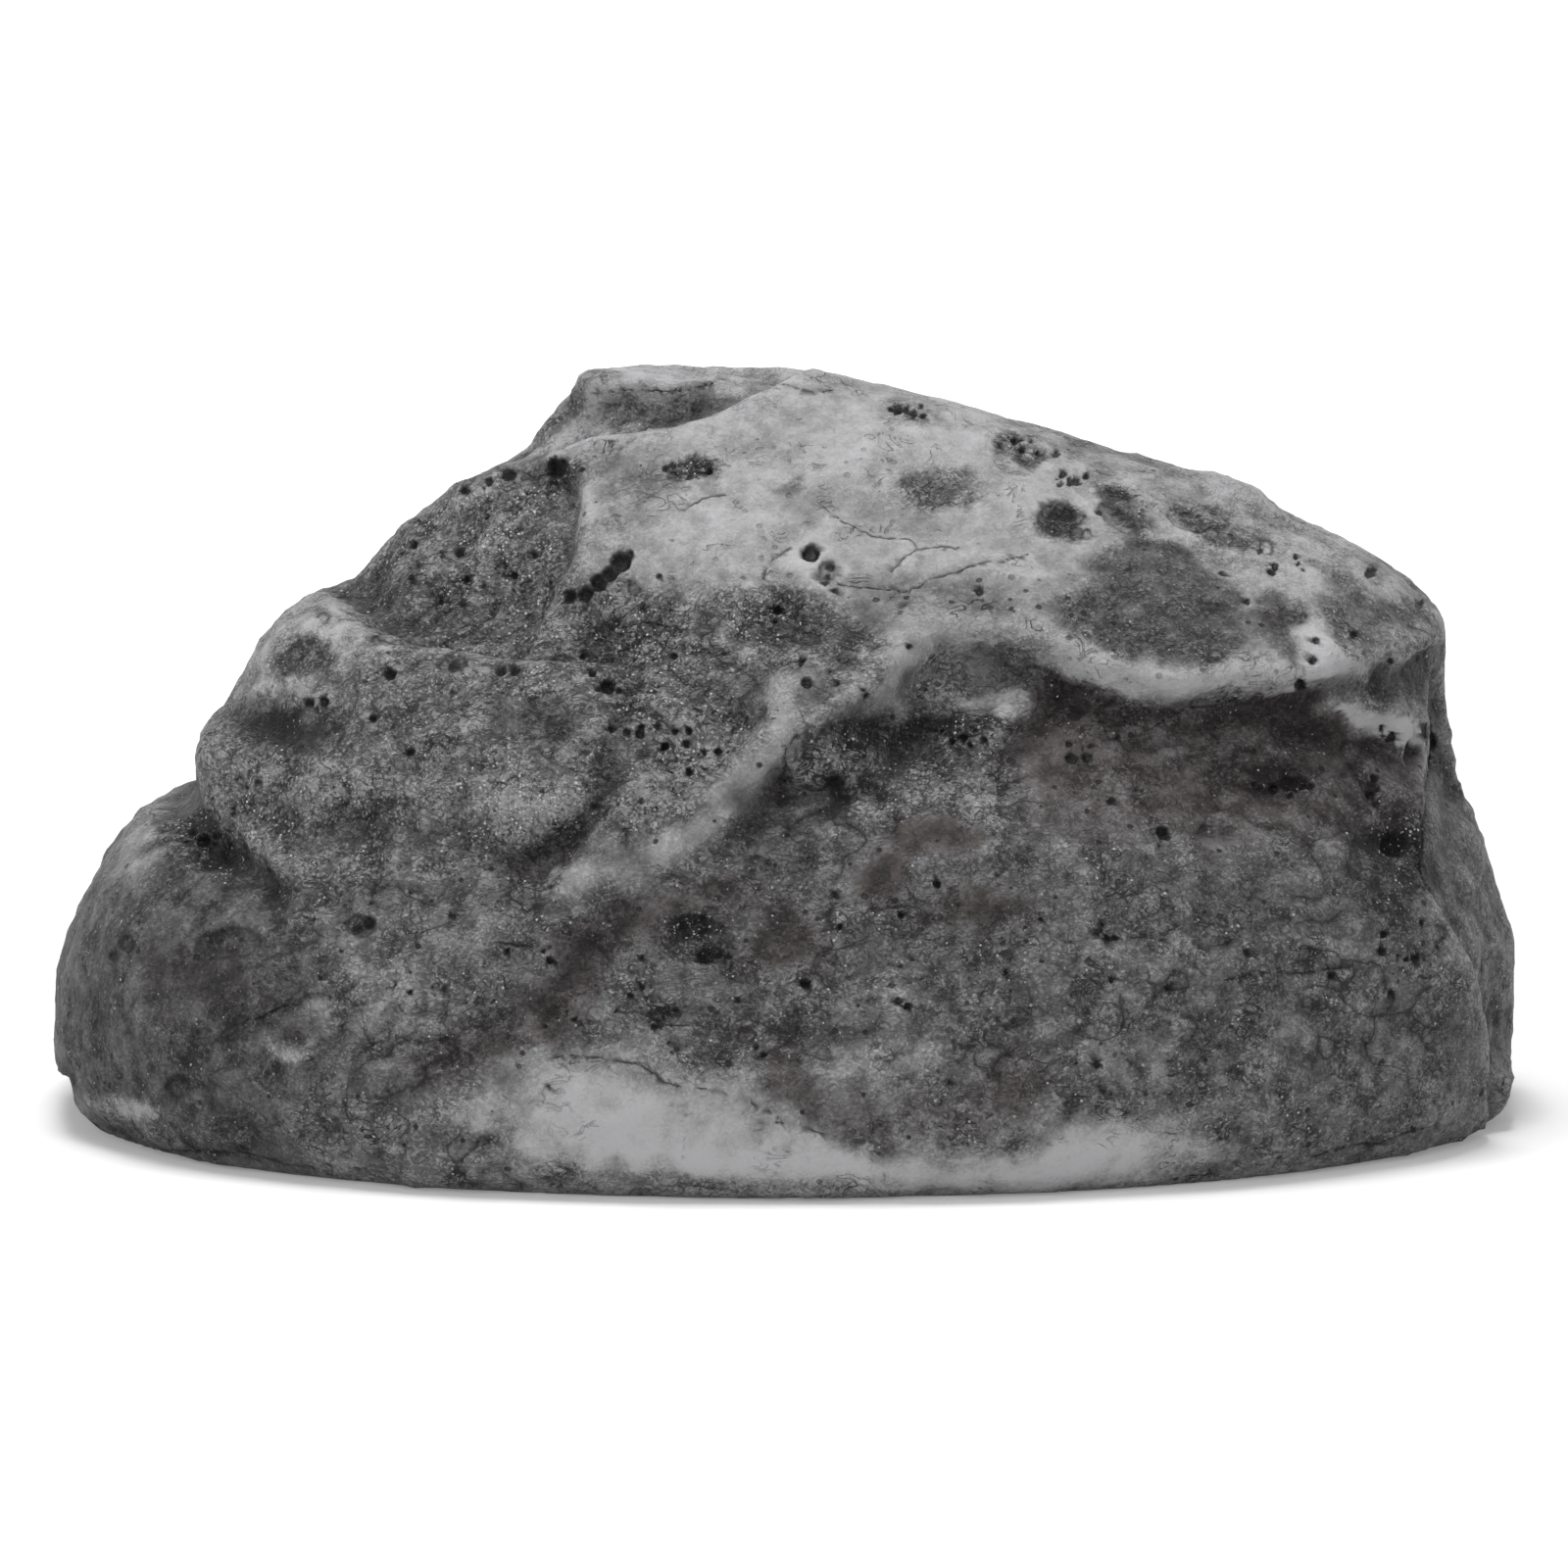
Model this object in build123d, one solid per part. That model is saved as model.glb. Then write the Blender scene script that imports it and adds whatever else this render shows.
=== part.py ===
"""A cast stone key hider: a hollow grey rock with a sliding door over a key tub in its flat base.

Millimetres, +Z up. The origin is the middle of the footprint, on the plane that the rock stands on.
+X runs along the rock's length, and -Y is its front, the face that shows a light sloping crown
over a dark broken wall. The door slides out of the rock's left end, towards -X.
"""

from build123d import *
import os
from math import copysign, cos, pi, sin

# ---- The rock ----
LENGTH = 90.0
DEPTH = 62.0
HEIGHT = 46.0
RING_POINTS = 24
FRONT_SQUARENESS = 2.4  # exponent of a level's front half: 2 is an ellipse, more is boxier
BACK_SQUARENESS = 3.4
CRAG = 0.045  # how far the facets between the four extremes dip, as a share of the radius
CRAG_TURNS = 7  # dips per turn
CRAG_TWIST = 0.37  # how far the dips turn per millimetre of height, in radians

# Each level of the outer form, from the ground up: height, then its left, right, front and back extremes.
LEVELS = [
    (0.0, -43.6, 43.8, -29.4, 29.6),
    (2.0, -44.7, 44.8, -30.8, 30.8),
    (4.4, -LENGTH / 2, LENGTH / 2, -DEPTH / 2, DEPTH / 2),
    (8.0, -44.5, 44.7, -30.2, 30.4),
    (14.0, -42.8, 43.5, -28.4, 29.0),
    (18.8, -39.4, 41.6, -26.0, 27.4),
    (20.4, -36.4, 41.2, -25.0, 26.6),
    (24.4, -36.2, 40.5, -22.6, 24.4),
    (28.0, -33.0, 40.5, -19.8, 21.8),
    (31.4, -30.0, 40.0, -16.4, 19.4),
    (32.8, -26.6, 38.6, -15.0, 18.4),
    (35.4, -25.2, 35.2, -12.2, 16.2),
    (37.8, -22.8, 31.0, -9.6, 13.8),
    (40.0, -18.6, 25.4, -6.8, 11.6),
    (42.0, -16.0, 17.2, -4.6, 9.6),
    (43.8, -13.8, 11.0, -2.4, 7.8),
    (45.4, -11.8, 5.0, -0.6, 6.0),
    (HEIGHT, -10.0, 1.6, 0.8, 4.6),
]

# ---- Where the compartment's middle lies in plan: set back, to leave a thick front wall ----
KEY_X = -1.0
KEY_Y = 6.0

# ---- Heights of the stack in the base, from the ground up ----
FRAME_LOW = 0.5
LIP_THICKNESS = 0.8
GROOVE_HEIGHT = 2.0
FLANGE_THICKNESS = 1.4
GASKET_THICKNESS = 0.8
KEY_DEPTH = 11.0  # from the flange's lower face to the tub's ceiling
WALL = 1.4
POCKET_GAP = 0.6  # left over the tub for the bedding compound
GROOVE_LOW = FRAME_LOW + LIP_THICKNESS
FLANGE_LOW = GROOVE_LOW + GROOVE_HEIGHT
FLANGE_TOP = FLANGE_LOW + FLANGE_THICKNESS
STEP = FLANGE_TOP + GASKET_THICKNESS  # the rock's ledge that the flange is pulled against
CEILING = FLANGE_LOW + KEY_DEPTH
TUB_TOP = CEILING + WALL

# ---- Plan sizes: length, width and corner radius ----
KEY_SPACE = (54.0, 23.4, 6.0)
FRAME = (72.0, 37.6, 6.0)
FIT = 0.3  # between the inserts and the rock, on each side

# ---- Track: the door's edges run in two grooves between the frame's lips and the tub's flange ----
GROOVE_WIDTH = 28.0
WINDOW_WIDTH = 23.4
GROOVE_END = 31.0
WINDOW_END = 28.0
MOUTH_HEIGHT = FLANGE_LOW + FIT
MOUTH_WIDTH = GROOVE_WIDTH + 2 * FIT

# ---- Door: a plate that fills the grooves, and a thicker field that fills the window ----
DOOR_START, DOOR_END = -43.2, GROOVE_END - 0.3
DOOR_CORNER = 6.0
SIDE_PLAY = 0.3
PLATE_PLAY = 0.15  # above and below the plate's edges
FIELD_LOW = 0.7
FIELD_START, FIELD_END = -42.6, WINDOW_END - 0.4
PLATE_LOW = GROOVE_LOW + PLATE_PLAY
PLATE_TOP = FLANGE_LOW - PLATE_PLAY
TRAVEL = 52.0

# The rib on the plate's inner face meets the tub's end wall when the door is open.
STOP_X = KEY_X - KEY_SPACE[0] / 2 + TRAVEL + 0.4
STOP_LENGTH, STOP_WIDTH, STOP_HEIGHT = 1.2, 13.0, 0.9

# ---- Finger grip and arrow, both sunk in the door's outer face ----
GRIP_GROOVES = 6
GRIP_PITCH = 1.6
GRIP_GROOVE = (0.8, 15.0, 0.35)
GRIP_START = -39.0
ARROW_X = -23.0
ARROW_SIZE = 9.0
ARROW_DEPTH = 0.3

# ---- Fasteners: four countersunk self-tapping screws in nylon plugs ----
SCREW_X, SCREW_Y = 20.0, 16.6
SCREW_RADIUS = 1.0
SCREW_HOLE_RADIUS = 1.15
HEAD_RADIUS = 1.75
HEAD_LOW, HEAD_TOP = 0.65, 1.85
HEAD_PLAY = 0.1
SCREW_TIP = 11.6
CROSS_LENGTH, CROSS_WIDTH, CROSS_DEPTH = 2.2, 0.45, 0.7
PLUG_RADIUS = 2.0
PLUG_LENGTH = 8.0
PLUG_BORE_RADIUS = 1.02
PLUG_PLAY = 0.02
PLUG_END_GAP = 0.3

# ---- Foam pad on the tub's ceiling, which keeps a key from rattling ----
PAD = (50.0, 19.4, 4.5)
PAD_THICKNESS = 1.5


def slab(size, low, high, grow=0.0):
    """A plate with rounded corners, centred on the compartment and grown outwards on every side."""
    length, width, radius = size
    outline = RectangleRounded(length + 2 * grow, width + 2 * grow, radius + grow)
    return Pos(KEY_X, KEY_Y, low) * extrude(outline, high - low)


def lane(start, end, width, low, high):
    """A straight bar along X, centred on the compartment's width."""
    centre = Pos((start + end) / 2, KEY_Y, (low + high) / 2)
    return centre * Box(end - start, width, high - low)


def upright(radius, x, y, low, high):
    """A round bar standing on Z between two heights."""
    return Pos(x, y, (low + high) / 2) * Cylinder(radius, high - low)


def screw_places():
    sides = (-1, 1)
    return [(KEY_X + a * SCREW_X, KEY_Y + b * SCREW_Y) for a in sides for b in sides]


def rock_ring(level):
    """One level's outline: a boxy oval that keeps its four extremes, with shallow dips between them."""
    height, left, right, front, back = level
    points = []
    for k in range(RING_POINTS):
        turn = 2 * pi * k / RING_POINTS
        dip = CRAG * sin(2 * turn) ** 2 * (0.5 + 0.5 * sin(CRAG_TURNS * turn + CRAG_TWIST * height))
        power = 2 / (BACK_SQUARENESS if sin(turn) > 0 else FRONT_SQUARENESS)
        reach_x = (right - left) / 2 * (1 - dip)
        reach_y = (back - front) / 2 * (1 - dip)
        x = (left + right) / 2 + reach_x * copysign(abs(cos(turn)) ** power, cos(turn))
        y = (front + back) / 2 + reach_y * copysign(abs(sin(turn)) ** power, sin(turn))
        points.append((x, y, height))
    return make_face(Polyline(*points, close=True))


def make_rock_shell():
    """The cast body: faceted rock outside, stepped pocket, plug holes and the door's mouth."""
    rock = loft([rock_ring(level) for level in LEVELS], ruled=True)
    rock -= slab(FRAME, -1, STEP, FIT)
    rock -= slab(KEY_SPACE, 0, TUB_TOP + POCKET_GAP, WALL + FIT)
    rock -= lane(-LENGTH, KEY_X, MOUTH_WIDTH, -1, MOUTH_HEIGHT)
    for x, y in screw_places():
        rock -= upright(PLUG_RADIUS + PLUG_PLAY, x, y, 0, STEP + PLUG_LENGTH + PLUG_END_GAP)
    return rock


def make_key_tub():
    """The moulded compartment: a tub, mouth down, with a flange that roofs the door's grooves."""
    tub = slab(FRAME, FLANGE_LOW, FLANGE_TOP)
    tub += slab(KEY_SPACE, FLANGE_LOW, TUB_TOP, WALL)
    tub -= slab(KEY_SPACE, 0, CEILING)
    for x, y in screw_places():
        tub -= upright(SCREW_HOLE_RADIUS, x, y, 0, FLANGE_TOP + 1)
    return tub


def make_track_frame():
    """The frame under the flange: two side rails with lips, joined at the right end, open at the left."""
    frame = slab(FRAME, FRAME_LOW, FLANGE_LOW)
    frame -= lane(-LENGTH, GROOVE_END, GROOVE_WIDTH, GROOVE_LOW, FLANGE_LOW + 1)
    frame -= lane(-LENGTH, WINDOW_END, WINDOW_WIDTH, 0, GROOVE_LOW)
    sink_depth = HEAD_TOP - FRAME_LOW
    for x, y in screw_places():
        frame -= upright(SCREW_HOLE_RADIUS, x, y, 0, FLANGE_LOW + 1)
        sink = Cone(HEAD_RADIUS + HEAD_PLAY, SCREW_HOLE_RADIUS, sink_depth)
        frame -= Pos(x, y, FRAME_LOW + sink_depth / 2) * sink
    return frame


def round_left_corners(bar):
    corners = bar.edges().filter_by(Axis.Z).group_by(Axis.X)[0]
    return fillet(corners, DOOR_CORNER)


def make_slide_door():
    """The door: plate, field, stop rib, and a ribbed finger grip with an arrow beside it."""
    plate_width = GROOVE_WIDTH - 2 * SIDE_PLAY
    field_width = WINDOW_WIDTH - 2 * SIDE_PLAY
    door = round_left_corners(lane(DOOR_START, DOOR_END, plate_width, PLATE_LOW, PLATE_TOP))
    door += round_left_corners(lane(FIELD_START, FIELD_END, field_width, FIELD_LOW, PLATE_LOW))
    door += lane(STOP_X, STOP_X + STOP_LENGTH, STOP_WIDTH, PLATE_TOP, PLATE_TOP + STOP_HEIGHT)
    groove_length, groove_width, groove_depth = GRIP_GROOVE
    for k in range(GRIP_GROOVES):
        start = GRIP_START + k * GRIP_PITCH
        door -= lane(start, start + groove_length, groove_width, 0, FIELD_LOW + groove_depth)
    return door - opening_arrow()


def opening_arrow():
    """An arrow towards the left end, the way the door opens."""
    half = ARROW_SIZE / 2
    stem = half / 3
    outline = Polyline(
        (-half, 0), (0, half), (0, stem), (half, stem), (half, -stem), (0, -stem), (0, -half), close=True
    )
    return Pos(ARROW_X, KEY_Y, 0) * extrude(make_face(outline), FIELD_LOW + ARROW_DEPTH)


def make_flange_gasket():
    """The foam ring between the flange and the rock's ledge, pierced for the four screws."""
    gasket = slab(FRAME, FLANGE_TOP, STEP) - slab(KEY_SPACE, FLANGE_TOP, STEP, WALL + FIT)
    for x, y in screw_places():
        gasket -= upright(SCREW_HOLE_RADIUS, x, y, FLANGE_TOP, STEP)
    return gasket


def make_screw(x, y):
    """A countersunk screw, head down, with a cross recess and a pointed tip."""
    head_depth = HEAD_TOP - HEAD_LOW
    head = Pos(x, y, HEAD_LOW + head_depth / 2) * Cone(HEAD_RADIUS, SCREW_RADIUS, head_depth)
    shank = upright(SCREW_RADIUS, x, y, HEAD_TOP, SCREW_TIP - SCREW_RADIUS)
    tip = Pos(x, y, SCREW_TIP - SCREW_RADIUS / 2) * Cone(SCREW_RADIUS, SCREW_RADIUS / 5, SCREW_RADIUS)
    recess_z = HEAD_LOW + CROSS_DEPTH / 2
    cross = Pos(x, y, recess_z) * Box(CROSS_LENGTH, CROSS_WIDTH, CROSS_DEPTH)
    cross += Pos(x, y, recess_z) * Box(CROSS_WIDTH, CROSS_LENGTH, CROSS_DEPTH)
    return head + shank + tip - cross


def make_plug(x, y):
    """A nylon plug set in the rock, which the screw cuts into."""
    plug = upright(PLUG_RADIUS, x, y, STEP, STEP + PLUG_LENGTH)
    return plug - upright(PLUG_BORE_RADIUS, x, y, STEP, SCREW_TIP + PLUG_END_GAP)


def make_foam_pad():
    return slab(PAD, CEILING - PAD_THICKNESS, CEILING)


PIECES = {
    "rock_shell": make_rock_shell(),
    "key_tub": make_key_tub(),
    "track_frame": make_track_frame(),
    "slide_door": make_slide_door(),
    "flange_gasket": make_flange_gasket(),
    "frame_screws": Compound(children=[make_screw(x, y) for x, y in screw_places()]),
    "screw_plugs": Compound(children=[make_plug(x, y) for x, y in screw_places()]),
    "foam_pad": make_foam_pad(),
}

os.makedirs("parts", exist_ok=True)
for name, piece in PIECES.items():
    export_step(piece, f"parts/{name}.step")
    print(name, "volume", round(piece.volume), "mm3")
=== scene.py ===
# %% [markdown]
# # A cast rock that hides a key
# The object is a fake stone, cast in grey stone-filled resin and washed with dark paint, with a plastic
# key tub and a sliding door in its flat base. The fixed frame below is the CAD model: it says where
# every insert sits. This lesson gives the rock its broken surface and every piece its finish.

# %% Load the fixed frame
import math

import bmesh
import bpy
import numpy as np
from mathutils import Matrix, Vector, noise


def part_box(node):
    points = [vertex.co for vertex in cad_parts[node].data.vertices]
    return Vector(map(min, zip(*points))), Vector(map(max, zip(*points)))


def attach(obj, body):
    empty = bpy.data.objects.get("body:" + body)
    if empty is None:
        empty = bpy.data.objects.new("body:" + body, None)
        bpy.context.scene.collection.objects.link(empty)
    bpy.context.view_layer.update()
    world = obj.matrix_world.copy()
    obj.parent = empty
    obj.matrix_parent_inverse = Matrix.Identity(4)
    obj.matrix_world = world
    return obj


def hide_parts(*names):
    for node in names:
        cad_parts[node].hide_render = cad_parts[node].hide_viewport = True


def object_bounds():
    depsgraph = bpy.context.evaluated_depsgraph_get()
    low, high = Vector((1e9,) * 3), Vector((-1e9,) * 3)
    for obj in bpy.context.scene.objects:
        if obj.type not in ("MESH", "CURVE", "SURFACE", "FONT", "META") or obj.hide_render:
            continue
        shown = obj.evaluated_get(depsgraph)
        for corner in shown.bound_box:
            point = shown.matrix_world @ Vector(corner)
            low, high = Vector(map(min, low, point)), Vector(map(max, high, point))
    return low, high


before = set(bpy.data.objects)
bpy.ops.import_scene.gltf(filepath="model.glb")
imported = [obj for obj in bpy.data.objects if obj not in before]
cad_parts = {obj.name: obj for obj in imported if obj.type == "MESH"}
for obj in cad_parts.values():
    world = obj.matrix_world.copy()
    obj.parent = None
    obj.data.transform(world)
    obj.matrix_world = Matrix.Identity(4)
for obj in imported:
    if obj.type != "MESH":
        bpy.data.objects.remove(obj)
frame_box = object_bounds()
MM = 0.001
print("pieces in the frame:", sorted(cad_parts))

# %% [markdown]
# ## Camera
# The photo looks at the rock's front from about ten degrees above, through a long lens, so the picture is
# nearly a parallel projection. Its scale is 90 mm of rock to 1492 pixels. Placing the camera first lets
# every later step speak of a place on the rock as a column and a row of the photo.

# %% Camera
PHOTO_SIDE = 1600
MM_PER_PIXEL = 90 / 1492
ELEVATION = math.radians(9.75)
DISTANCE = 1500.0  # millimetres, from the point that the camera looks at
ORIGIN_ROW = 1135  # the row where the photo shows the frame's origin; its column is the middle one
SENSOR = 36.0

toward_camera = np.array([0, -math.cos(ELEVATION), math.sin(ELEVATION)])
picture_up = np.array([0, math.sin(ELEVATION), math.cos(ELEVATION)])
aim_height = (ORIGIN_ROW - PHOTO_SIDE / 2) * MM_PER_PIXEL / math.cos(ELEVATION)
aim = np.array([0, 0, aim_height])

camera = bpy.data.objects.new("camera", bpy.data.cameras.new("camera"))
bpy.context.scene.collection.objects.link(camera)
camera.data.sensor_width = SENSOR
camera.data.lens = SENSOR * DISTANCE / (PHOTO_SIDE * MM_PER_PIXEL)
camera.data.clip_end = 10
camera.location = Vector(aim + toward_camera * DISTANCE) * MM
camera.rotation_euler = Vector(-toward_camera).to_track_quat("-Z", "Y").to_euler()
bpy.context.scene.camera = camera
bpy.context.scene.view_settings.view_transform = "Standard"
print("lens", round(camera.data.lens), "mm, aimed", round(aim_height, 1), "mm above the ground")

# %% [markdown]
# ## A short way to write materials
# A material is a chain of nodes, and so are the floor's glow and the sky. `Recipe` places nodes and joins
# them, so that each finish below reads as a list of steps. Everything is measured in millimetres on the
# piece itself, so a pattern keeps its real size and moves with its piece.

# %% A short way to write materials
def link(tree, source, target):
    tree.links.new(source, target)


class Recipe:
    def __init__(self, tree):
        self.tree = tree

    def node(self, kind, inputs=None, **settings):
        """Places a node. Inputs are plain values, or outputs of other nodes."""
        made = self.tree.nodes.new(kind)
        for name, value in settings.items():
            setattr(made, name, value)
        for name, value in (inputs or {}).items():
            if isinstance(value, bpy.types.NodeSocket):
                link(self.tree, value, made.inputs[name])
            else:
                made.inputs[name].default_value = value
        return made

    def math(self, operation, first, second=0.0, clamp=False):
        inputs = {0: first, 1: second}
        return self.node("ShaderNodeMath", inputs, operation=operation, use_clamp=clamp).outputs[0]

    def times(self, first, second):
        return self.math("MULTIPLY", first, second)

    def plus(self, first, second):
        return self.math("ADD", first, second)

    def step(self, value, low, high, to_low=0.0, to_high=1.0):
        made = self.node("ShaderNodeMapRange", {"Value": value, "From Min": low, "From Max": high,
                                                "To Min": to_low, "To Max": to_high},
                         interpolation_type="SMOOTHSTEP")
        return made.outputs["Result"]

    def blend(self, share, first, second, way="MIX"):
        made = self.node("ShaderNodeMix", {"Factor": share}, data_type="RGBA", blend_type=way)
        for place, value in ((6, first), (7, second)):
            if isinstance(value, bpy.types.NodeSocket):
                link(self.tree, value, made.inputs[place])
            else:
                made.inputs[place].default_value = (*value, 1)
        return made.outputs[2]

    def attribute(self, name):
        return self.node("ShaderNodeAttribute", attribute_name=name).outputs["Fac"]

    def millimetres(self):
        """The point on the piece, in millimetres."""
        place = self.node("ShaderNodeTexCoord").outputs["Object"]
        return self.node("ShaderNodeMapping", {"Vector": place, "Scale": (1000, 1000, 1000)}).outputs[0]

    def noise(self, place, per_mm, detail=4.0, roughness=0.6, distortion=0.0):
        made = self.node("ShaderNodeTexNoise", {"Vector": place, "Scale": per_mm, "Detail": detail,
                                                "Roughness": roughness, "Distortion": distortion})
        return made.outputs["Fac"]

    def swayed(self, place, per_mm, detail, roughness, reach):
        """The place pushed about by waves, so that cells drawn on it lose their straight sides."""
        waves = self.node("ShaderNodeTexNoise", {"Vector": place, "Scale": per_mm, "Detail": detail,
                                                 "Roughness": roughness})
        inputs = {0: waves.outputs["Color"], "Scale": reach}
        sway = self.node("ShaderNodeVectorMath", inputs, operation="SCALE")
        return self.node("ShaderNodeVectorMath", {0: place, 1: sway.outputs[0]}, operation="ADD").outputs[0]

    def group(self, group, inputs):
        return self.node("ShaderNodeGroup", inputs, node_tree=group).outputs


def new_group(name, inputs, outputs):
    """An empty node group with number inputs, and a recipe to fill it."""
    tree = bpy.data.node_groups.new(name, "ShaderNodeTree")
    for socket, value in inputs.items():
        made = tree.interface.new_socket(socket, in_out="INPUT", socket_type="NodeSocketFloat")
        made.default_value = value
    for socket in outputs:
        tree.interface.new_socket(socket, in_out="OUTPUT", socket_type="NodeSocketFloat")
    recipe = Recipe(tree)
    given = recipe.node("NodeGroupInput").outputs
    result = recipe.node("NodeGroupOutput").inputs
    return tree, recipe, given, result


def new_material(name, roughness, specular=0.5, metallic=0.0):
    """A material and a recipe to fill it. Its uniform values are set on the Principled shader itself."""
    material = bpy.data.materials.new(name)
    material.use_nodes = True
    shader = material.node_tree.nodes["Principled BSDF"]
    shader.inputs["Roughness"].default_value = roughness
    shader.inputs["Specular IOR Level"].default_value = specular
    shader.inputs["Metallic"].default_value = metallic
    return material, Recipe(material.node_tree)


def finish(piece, material, colour, roughness, relief):
    """Joins colour, roughness and relief in millimetres to a material's shader, and puts it on a piece."""
    recipe, shader = Recipe(material.node_tree), material.node_tree.nodes["Principled BSDF"]
    bump = recipe.node("ShaderNodeBump", {"Height": relief, "Distance": MM, "Strength": 1.0})
    link(recipe.tree, colour, shader.inputs["Base Color"])
    link(recipe.tree, roughness, shader.inputs["Roughness"])
    link(recipe.tree, bump.outputs["Normal"], shader.inputs["Normal"])
    piece.data.materials.clear()
    piece.data.materials.append(material)


print("recipes ready")

# %% [markdown]
# ## Light, floor and background
# The photo looks lit by a wide soft box from above, with white all round, so shadows are faint. One large
# lamp overhead and a weaker one in front give that, under an even white sky. The floor stays white because
# it adds a little light of its own to what the camera sees, which leaves the rock's shadow on it.

# %% Light, floor and background
SKY = 0.36
FLOOR_RADIUS = 3.0
FLOOR_COLOUR = 0.8
LIFT_NEAR, LIFT_FAR = 0.2, 0.75  # the floor's own light, near the rock and far from it
LIFT_FROM, LIFT_TO = 0.07, 0.4  # metres from the rock's middle
LAMPS = {  # name: place and side in millimetres, and power in watts
    "overhead soft box": ((-60, 20, 700), 300, 3.7),
    "front fill": ((-200, -680, 300), 420, 1.3),
}
LAMP_TARGET = (0, 0, 20)


def seen_directly(recipe):
    """1 for rays that show a thing to the camera, straight or through a mirror or glass."""
    path = recipe.node("ShaderNodeLightPath").outputs
    seen = recipe.math("MAXIMUM", path["Is Camera Ray"], path["Is Glossy Ray"])
    return recipe.math("MAXIMUM", seen, path["Is Transmission Ray"])


def lamp(name, place_mm, size_mm, power):
    data = bpy.data.lights.new(name, "AREA")
    data.size = size_mm * MM
    data.energy = power
    holder = bpy.data.objects.new(name, data)
    holder.location = Vector(place_mm) * MM
    holder.rotation_euler = (Vector(LAMP_TARGET) - Vector(place_mm)).to_track_quat("-Z", "Y").to_euler()
    bpy.context.scene.collection.objects.link(holder)


world = bpy.data.worlds.new("white studio")
bpy.context.scene.world = world
world.use_nodes = True
recipe = Recipe(world.node_tree)
sky = world.node_tree.nodes["Background"]
sky.inputs["Color"].default_value = (1, 1, 1, 1)
strength = recipe.node("ShaderNodeMapRange", {"Value": seen_directly(recipe), "To Min": SKY})
link(world.node_tree, strength.outputs["Result"], sky.inputs["Strength"])

for name, settings in LAMPS.items():
    lamp(name, *settings)

floor_mesh = bmesh.new()
bmesh.ops.create_circle(floor_mesh, cap_ends=True, segments=64, radius=FLOOR_RADIUS)
floor = bpy.data.objects.new("floor", bpy.data.meshes.new("floor"))
floor_mesh.to_mesh(floor.data)
floor_mesh.free()
bpy.context.scene.collection.objects.link(floor)

paper = bpy.data.materials.new("white paper")
paper.use_nodes = True
paper.node_tree.nodes.clear()
recipe = Recipe(paper.node_tree)
place = recipe.node("ShaderNodeTexCoord").outputs["Object"]
from_middle = recipe.node("ShaderNodeVectorMath", {0: place}, operation="LENGTH").outputs["Value"]
rise = recipe.node("ShaderNodeMapRange", {"Value": from_middle, "From Min": LIFT_FROM, "From Max": LIFT_TO,
                                          "To Min": LIFT_NEAR, "To Max": LIFT_FAR}).outputs["Result"]
lift = recipe.times(seen_directly(recipe), rise)
matte = recipe.node("ShaderNodeBsdfDiffuse", {"Color": (FLOOR_COLOUR, FLOOR_COLOUR, FLOOR_COLOUR, 1)})
glow = recipe.node("ShaderNodeEmission", {"Strength": lift})
both = recipe.node("ShaderNodeAddShader", {0: matte.outputs[0], 1: glow.outputs[0]})
recipe.node("ShaderNodeOutputMaterial", {"Surface": both.outputs[0]})
floor.data.materials.append(paper)
print("lamps and floor ready")

# %% [markdown]
# ## The rock's rough form
# A caster starts from a lump of clay with about the right outline. Here a sphere's rows become level
# outlines of the rock: each level has its own left, right, front and back extremes, read off the photo's
# silhouette at the left and right, and chosen for the depth. A boxy oval joins the four.

# %% The rough form
LEVELS = [  # height, left, right, front, back
    (0.0, -43.8, 44.2, -29.8, 29.8),
    (2.2, -44.9, 45.0, -31.0, 31.0),
    (5.0, -45.0, 45.0, -31.0, 30.8),
    (8.4, -44.7, 45.0, -30.4, 30.4),
    (11.0, -44.2, 44.9, -29.6, 29.6),
    (14.0, -42.9, 44.0, -28.4, 28.6),
    (16.6, -41.2, 43.2, -27.4, 27.6),
    (19.0, -39.2, 42.4, -26.4, 26.6),
    (19.9, -36.4, 42.0, -26.0, 26.2),
    (24.0, -36.4, 41.2, -24.0, 24.0),
    (24.8, -35.2, 41.0, -23.4, 23.4),
    (27.2, -33.4, 40.8, -21.6, 21.8),
    (29.4, -32.0, 41.0, -19.8, 20.4),
    (31.2, -30.2, 40.6, -17.8, 19.4),
    (32.0, -26.6, 39.6, -16.8, 18.8),
    (34.4, -25.6, 36.6, -14.0, 17.0),
    (36.2, -23.6, 33.0, -11.8, 15.4),
    (38.0, -20.6, 29.0, -9.8, 13.8),
    (39.8, -17.6, 24.6, -7.6, 12.2),
    (41.6, -15.6, 18.0, -5.4, 10.6),
    (43.4, -13.8, 11.6, -3.0, 8.8),
    (45.2, -12.0, 5.0, -0.8, 6.8),
    (46.0, -9.6, 1.4, 1.4, 4.8),
]
FRONT_SQUARENESS = ((0, 6, 14), (2.05, 2.2, 2.3))  # at these heights
BACK_SQUARENESS = ((0, 14, 20), (3.0, 2.0, 1.7))  # at these heights
BASE_SHARE = 0.22  # of the sphere's height goes to the flat base
ROCK_HEIGHT, CROWDING = 46.0, 1.15  # the power that crowds the sphere's rows towards the top


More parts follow.
